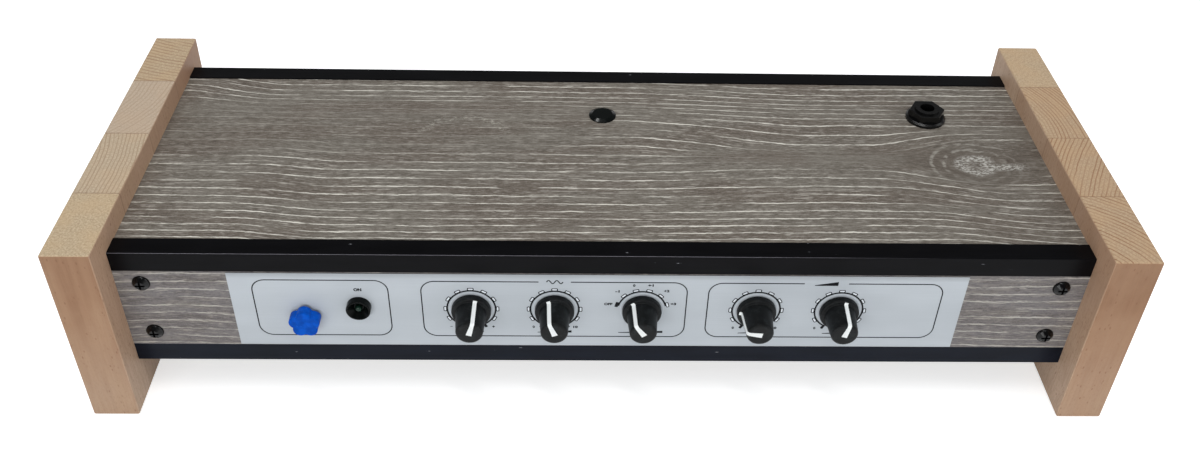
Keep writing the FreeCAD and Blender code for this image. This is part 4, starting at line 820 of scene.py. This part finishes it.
# The scales: a ring with ticks across it, solid marks at its ends and a faint circle inside
SCALE_RADIUS = 9.8
SCALE_LINE = 0.7
SCALE_POINTS = 73
TICK_RADIUS = 10.6
TICK_LENGTH = 2.7
TICK_DEPTH = 1.4
TICK_OUTLINE = 0.36
TICK_ROUNDING = 0.45
MARK_ROUNDING = 0.3
END_TURN = 150
END_MARK_RADIUS = 10.55
END_MARK_LENGTH = 1.2
END_MARK_DEPTH = 2.3
TICK_TURNS = range(-120, 121, 30)
OCTAVE_TURNS = range(-45, 76, 30)
OCTAVE_OFF_TURN = -75
OCTAVE_REACH = 78
CIRCLE_RADII = (8.85, 8.7)
CIRCLE_POINTS = 144


def draw_frames(mesh):
    """The groups' frames: a closed loop, or one that leaves a gap in its upper line."""
    half = FRAME_LINE / 2
    for left, low, right, high, gap in FRAMES.values():
        if gap is None:
            outer = rounded_box(left - half, low - half, right + half, high + half,
                                FRAME_CORNER + half)
            inner = rounded_box(left + half, low + half, right - half, high - half,
                                FRAME_CORNER - half)
            ring(mesh, outer, inner)
            continue
        loop = rounded_box(left, low, right, high, FRAME_CORNER, points=CORNER_POINTS)
        path = [(gap[1], high)] + loop[CORNER_POINTS:] + loop[:CORNER_POINTS] + [(gap[0], high)]
        prism(mesh, open_path(path, FRAME_LINE))


def tick_turns(name):
    """Where a scale's open ticks stand, in degrees clockwise from upright."""
    return OCTAVE_TURNS if name == "octave" else TICK_TURNS


def draw_scale_black(name):
    """A scale's ring, its tick outlines and its solid end marks."""
    x, z = dial_axis(name)

    def draw(mesh):
        inner, outer = SCALE_RADIUS - SCALE_LINE / 2, SCALE_RADIUS + SCALE_LINE / 2
        reach = OCTAVE_REACH if name == "octave" else END_TURN
        prism(mesh, arc(x, z, outer, -reach, reach, SCALE_POINTS)
              + arc(x, z, inner, reach, -reach, SCALE_POINTS))
        marks = [turned_box(x, z, TICK_RADIUS, turn, TICK_LENGTH, TICK_DEPTH, TICK_ROUNDING)
                 for turn in tick_turns(name)]
        if name == "octave":
            marks.append(turned_box(x, z, TICK_RADIUS, OCTAVE_OFF_TURN, TICK_LENGTH, TICK_DEPTH,
                                    MARK_ROUNDING))
        else:
            marks += [turned_box(x, z, END_MARK_RADIUS, turn, END_MARK_LENGTH, END_MARK_DEPTH,
                                 MARK_ROUNDING) for turn in (-END_TURN, END_TURN)]
        for mark in marks:
            prism(mesh, mark, INK_DEPTH + INK_STEP)
    return draw


def draw_scale_white(name):
    """The white fill of a scale's ticks."""
    x, z = dial_axis(name)

    def draw(mesh):
        for turn in tick_turns(name):
            fill = turned_box(x, z, TICK_RADIUS, turn, TICK_LENGTH - 2 * TICK_OUTLINE,
                              TICK_DEPTH - 2 * TICK_OUTLINE, MARK_ROUNDING)
            prism(mesh, fill, INK_DEPTH + 2 * INK_STEP)
    return draw


def draw_scale_circle(name):
    """The faint circle inside a scale."""
    x, z = dial_axis(name)

    def draw(mesh):
        last_turn = 360 - 360 / CIRCLE_POINTS
        ring(mesh, *[arc(x, z, radius, 0, last_turn, CIRCLE_POINTS) for radius in CIRCLE_RADII])
    return draw


# Lettering: the height of numbers, where the ends of a range stand under a dial, and the font's
# own half depth and swelling
NUMBER_HEIGHT = 1.3
RANGE_PLACE = 39.3
RANGE_OUT = 8.6
LETTER_DEPTH = 0.01
LETTER_SWELL = 0.055

# The word by the lamp: text, middle X, middle Z, width and height. The words of the octave scale:
# text, how far right of and above the dial's axis, and width
LAMP_WORD = ("ON", -99.4, 59.2, 3.2, 1.6)
OCTAVE_WORDS = (("OFF", -13.7, 3.0, 3.4), ("-1", -10.2, 9.9, 1.8), ("0", -3.6, 13.1, 1.0),
                ("+1", 3.1, 13.2, 2.3), ("+2", 9.6, 10.2, 2.3), ("+3", 12.7, 3.2, 2.3))


def scale_words():
    """The numbers and switch words: text, middle X, middle Z, width and height of each."""
    words = [LAMP_WORD]
    octave_x, octave_z = dial_axis("octave")
    for text, right, up, width in OCTAVE_WORDS:
        words.append((text, octave_x + right, octave_z + up, width, NUMBER_HEIGHT))
    for name in ("sensitivity", "distance", "volume"):
        x, _ = dial_axis(name)
        words += [("0", x - RANGE_OUT, RANGE_PLACE, 0.95, NUMBER_HEIGHT),
                  ("10", x + RANGE_OUT, RANGE_PLACE, 1.9, NUMBER_HEIGHT)]
    x, _ = dial_axis("tuning")
    words += [("-", x - RANGE_OUT, RANGE_PLACE, 1.0, 0.25),
              ("+", x + RANGE_OUT, RANGE_PLACE, 1.1, 1.1)]
    return words


def draw_words(mesh):
    """All lettering, as thin closed letters."""
    for text, middle_x, middle_z, width, height in scale_words():
        letters = bpy.data.curves.new("letters", "FONT")
        letters.body = text
        letters.extrude = LETTER_DEPTH
        letters.offset = LETTER_SWELL
        holder = bpy.data.objects.new("letters", letters)
        shape = bpy.data.meshes.new_from_object(holder)
        part = bmesh.new()
        part.from_mesh(shape)
        bmesh.ops.remove_doubles(part, verts=part.verts, dist=1e-5)
        across = [vertex.co.x for vertex in part.verts]
        up = [vertex.co.y for vertex in part.verts]
        stretch_x, stretch_z = width / (max(across) - min(across)), height / (max(up) - min(up))
        shift_x, shift_z = (max(across) + min(across)) / 2, (max(up) + min(up)) / 2
        for vertex in part.verts:
            depth = INK_DEPTH if vertex.co.z > 0 else -INK_ROOT
            vertex.co = Vector((middle_x + (vertex.co.x - shift_x) * stretch_x, LABEL_FRONT - depth,
                                middle_z + (vertex.co.y - shift_z) * stretch_z)) * MM
        part.to_mesh(shape)
        part.free()
        mesh.from_mesh(shape)
        bpy.data.objects.remove(holder)
        bpy.data.curves.remove(letters)
        bpy.data.meshes.remove(shape)


# Signs in the place of headings: a wave over the first group and a rising wedge over the second
HEADING_HEIGHT = 2.1
WAVE_LENGTH = 6.6
WAVE_SWING = 0.85
WAVE_LINE = 0.45
WAVE_STEPS = 24
WEDGE_LENGTH = 9.4
WEDGE_THIN_END = 0.3
RAMP_LOW = 36.1
RAMP_HEIGHT = 1.2
RAMP_LENGTHS = {"tuning": 9.0, "sensitivity": 14.0, "octave": 18.3, "distance": 12.6,
                "volume": 10.0}


def wedge(middle_x, low, length, height):
    """A slim wedge that grows to the right, standing on a level line."""
    left, right = middle_x - length / 2, middle_x + length / 2
    return [(left, low), (left, low + WEDGE_THIN_END), (right, low + height), (right, low)]


def draw_signs(mesh):
    """The wave, the wedge, and under each knob a slim ramp that grows to the right."""
    _, _, _, high, gap = FRAMES["pitch"]
    wave = [(sum(gap) / 2 + WAVE_LENGTH * (place / WAVE_STEPS - 0.5),
             high + WAVE_SWING * math.sin(4 * math.pi * place / WAVE_STEPS))
            for place in range(WAVE_STEPS + 1)]
    prism(mesh, open_path(wave, WAVE_LINE))
    _, _, _, high, gap = FRAMES["volume"]
    prism(mesh, wedge(sum(gap) / 2, high - HEADING_HEIGHT / 2, WEDGE_LENGTH, HEADING_HEIGHT))
    for name, length in RAMP_LENGTHS.items():
        x, _ = dial_axis(name)
        prism(mesh, wedge(x, RAMP_LOW, length, RAMP_HEIGHT))


def make_panel_print():
    """Every printed piece of the panel, each in its ink."""
    black = make_print_ink("ink_black", srgb(18, 19, 22))
    grey = make_print_ink("ink_frame", srgb(26, 27, 31))
    white = make_print_ink("ink_white", srgb(226, 231, 236))
    faint = make_print_ink("ink_faint", srgb(206, 212, 218))
    printed("panel_frames", draw_frames, grey)
    printed("panel_signs", draw_signs, black)
    for name in POINTER_TURNS:
        printed(f"{name}_scale", draw_scale_black(name), black)
        printed(f"{name}_scale_ticks", draw_scale_white(name), white)
        printed(f"{name}_scale_circle", draw_scale_circle(name), faint)
    printed("panel_words", draw_words, black)


# -------- camera, light and floor

CAMERA_PLACE = (-0.01625, -0.41869, 0.37648)
CAMERA_YAW = -2.115
CAMERA_TILT = 51.059
CAMERA_ROLL = 1.744
CAMERA_LENS = 35.353
SENSOR_WIDTH = 36

# Area lamps: name, place, what it points at, width, height and power in watts
LAMPS = (
    ("softbox_above", (-0.1, -0.3, 1.4), (0, 0, 0), 1.6, 1.2, 2.6),
    ("strip_above", (-0.15, -0.1, 1.2), (0, 0, 0.05), 1.1, 0.05, 3.6),
    ("softbox_front", (-0.3, -1.6, 0.5), (0, 0, 0.05), 1.6, 0.6, 11),
    ("softbox_right", (1.3, -0.2, 0.8), (0, 0, 0.05), 1.0, 0.8, 4.2),
)

# The surround: the fill's tint and strength, and how its mirror image falls off overhead
FILL_TINT = (0.93, 0.96, 1.0, 1.0)
FILL_STRENGTH = 0.5
FALLOFF = {"From Min": 0.08, "From Max": 0.45, "To Min": 1.0, "To Max": 0.14}

FLOOR_HALF = 4.0
FLOOR_TONE = (0.85, 0.85, 0.85, 1.0)
FLOOR_GLOW = 0.58


def make_camera():
    """The camera, solved from the case's corners."""
    data = bpy.data.cameras.new("camera")
    data.sensor_width = SENSOR_WIDTH
    data.lens = CAMERA_LENS
    camera = bpy.data.objects.new("camera", data)
    bpy.context.scene.collection.objects.link(camera)
    turn = (Matrix.Rotation(math.radians(CAMERA_YAW), 4, "Z")
            @ Matrix.Rotation(math.radians(CAMERA_TILT), 4, "X")
            @ Matrix.Rotation(math.radians(CAMERA_ROLL), 4, "Z"))
    camera.matrix_world = Matrix.Translation(CAMERA_PLACE) @ turn
    data.clip_start, data.clip_end = 0.01, 50
    bpy.context.scene.camera = camera


def make_lamp(name, place, target, width, height, watts):
    """A rectangular lamp that points at its target."""
    data = bpy.data.lights.new(name, "AREA")
    data.shape = "RECTANGLE"
    data.size, data.size_y = width, height
    data.energy = watts
    lamp = bpy.data.objects.new(name, data)
    bpy.context.scene.collection.objects.link(lamp)
    lamp.location = place
    lamp.rotation_euler = (Vector(target) - Vector(place)).to_track_quat("-Z", "Y").to_euler()


def most_of(tree, *sockets):
    """The greatest of some 0 or 1 sockets."""
    total = sockets[0]
    for other in sockets[1:]:
        both = tree.nodes.new("ShaderNodeMath")
        both.operation = "MAXIMUM"
        tree.links.new(total, both.inputs[0])
        tree.links.new(other, both.inputs[1])
        total = both.outputs[0]
    return total


def mixed(tree, share, first, second):
    """A shader socket that is the first where the share is 0, and the second where it is 1."""
    node = tree.nodes.new("ShaderNodeMixShader")
    for place, socket in enumerate((share, first, second)):
        tree.links.new(socket, node.inputs[place])
    return node.outputs[0]


def make_world():
    """A white surround. Seen in gloss and glass, it is white at the horizon and falls off overhead,
    as a studio does; what lights the object is an even grey."""
    world = bpy.data.worlds.new("studio")
    bpy.context.scene.world = world
    world.use_nodes = True
    tree = world.node_tree
    fill = tree.nodes["Background"]
    fill.inputs["Color"].default_value = FILL_TINT
    fill.inputs["Strength"].default_value = FILL_STRENGTH
    mirrored = tree.nodes.new("ShaderNodeBackground")
    white = tree.nodes.new("ShaderNodeBackground")
    for background in (mirrored, white):
        background.inputs["Color"].default_value = (1.0, 1.0, 1.0, 1.0)
    direction = tree.nodes.new("ShaderNodeTexCoord")
    apart = tree.nodes.new("ShaderNodeSeparateXYZ")
    tree.links.new(direction.outputs["Generated"], apart.inputs[0])
    falloff = tree.nodes.new("ShaderNodeMapRange")
    falloff.interpolation_type = "SMOOTHSTEP"
    for socket, value in FALLOFF.items():
        falloff.inputs[socket].default_value = value
    tree.links.new(apart.outputs["Z"], falloff.inputs["Value"])
    tree.links.new(falloff.outputs[0], mirrored.inputs["Strength"])
    path = tree.nodes.new("ShaderNodeLightPath")
    in_gloss = most_of(tree, path.outputs["Is Glossy Ray"], path.outputs["Is Transmission Ray"])
    seen = mixed(tree, in_gloss, fill.outputs[0], mirrored.outputs[0])
    seen = mixed(tree, path.outputs["Is Camera Ray"], seen, white.outputs[0])
    tree.links.new(seen, tree.nodes["World Output"].inputs["Surface"])


def make_floor():
    """A pale floor that takes the object's shadow and is lifted towards white where it is seen."""
    data = bpy.data.meshes.new("floor")
    corners = [(x * FLOOR_HALF, y * FLOOR_HALF, 0) for x, y in ((-1, -1), (1, -1), (1, 1), (-1, 1))]
    data.from_pydata(corners, [], [(0, 1, 2, 3)])
    floor = bpy.data.objects.new("floor", data)
    bpy.context.scene.collection.objects.link(floor)
    material = bpy.data.materials.new("floor")
    material.use_nodes = True
    tree = material.node_tree
    surface = tree.nodes["Principled BSDF"]
    surface.inputs["Base Color"].default_value = FLOOR_TONE
    surface.inputs["Roughness"].default_value = 0.9
    surface.inputs["Specular IOR Level"].default_value = 0.1
    glow = tree.nodes.new("ShaderNodeEmission")
    glow.inputs["Strength"].default_value = FLOOR_GLOW
    dark = tree.nodes.new("ShaderNodeEmission")
    dark.inputs["Strength"].default_value = 0.0
    path = tree.nodes.new("ShaderNodeLightPath")
    in_sight = most_of(tree, path.outputs["Is Camera Ray"], path.outputs["Is Glossy Ray"],
                       path.outputs["Is Transmission Ray"])
    both = tree.nodes.new("ShaderNodeAddShader")
    tree.links.new(surface.outputs[0], both.inputs[0])
    tree.links.new(mixed(tree, in_sight, dark.outputs[0], glow.outputs[0]), both.inputs[1])
    tree.links.new(both.outputs[0], tree.nodes["Material Output"].inputs["Surface"])
    data.materials.append(material)


make_camera()
dress_case()
dress_controls()
dress_electronics()
make_panel_print()
for lamp_settings in LAMPS:
    make_lamp(*lamp_settings)
make_world()
make_floor()
bpy.context.scene.view_settings.view_transform = "Standard"
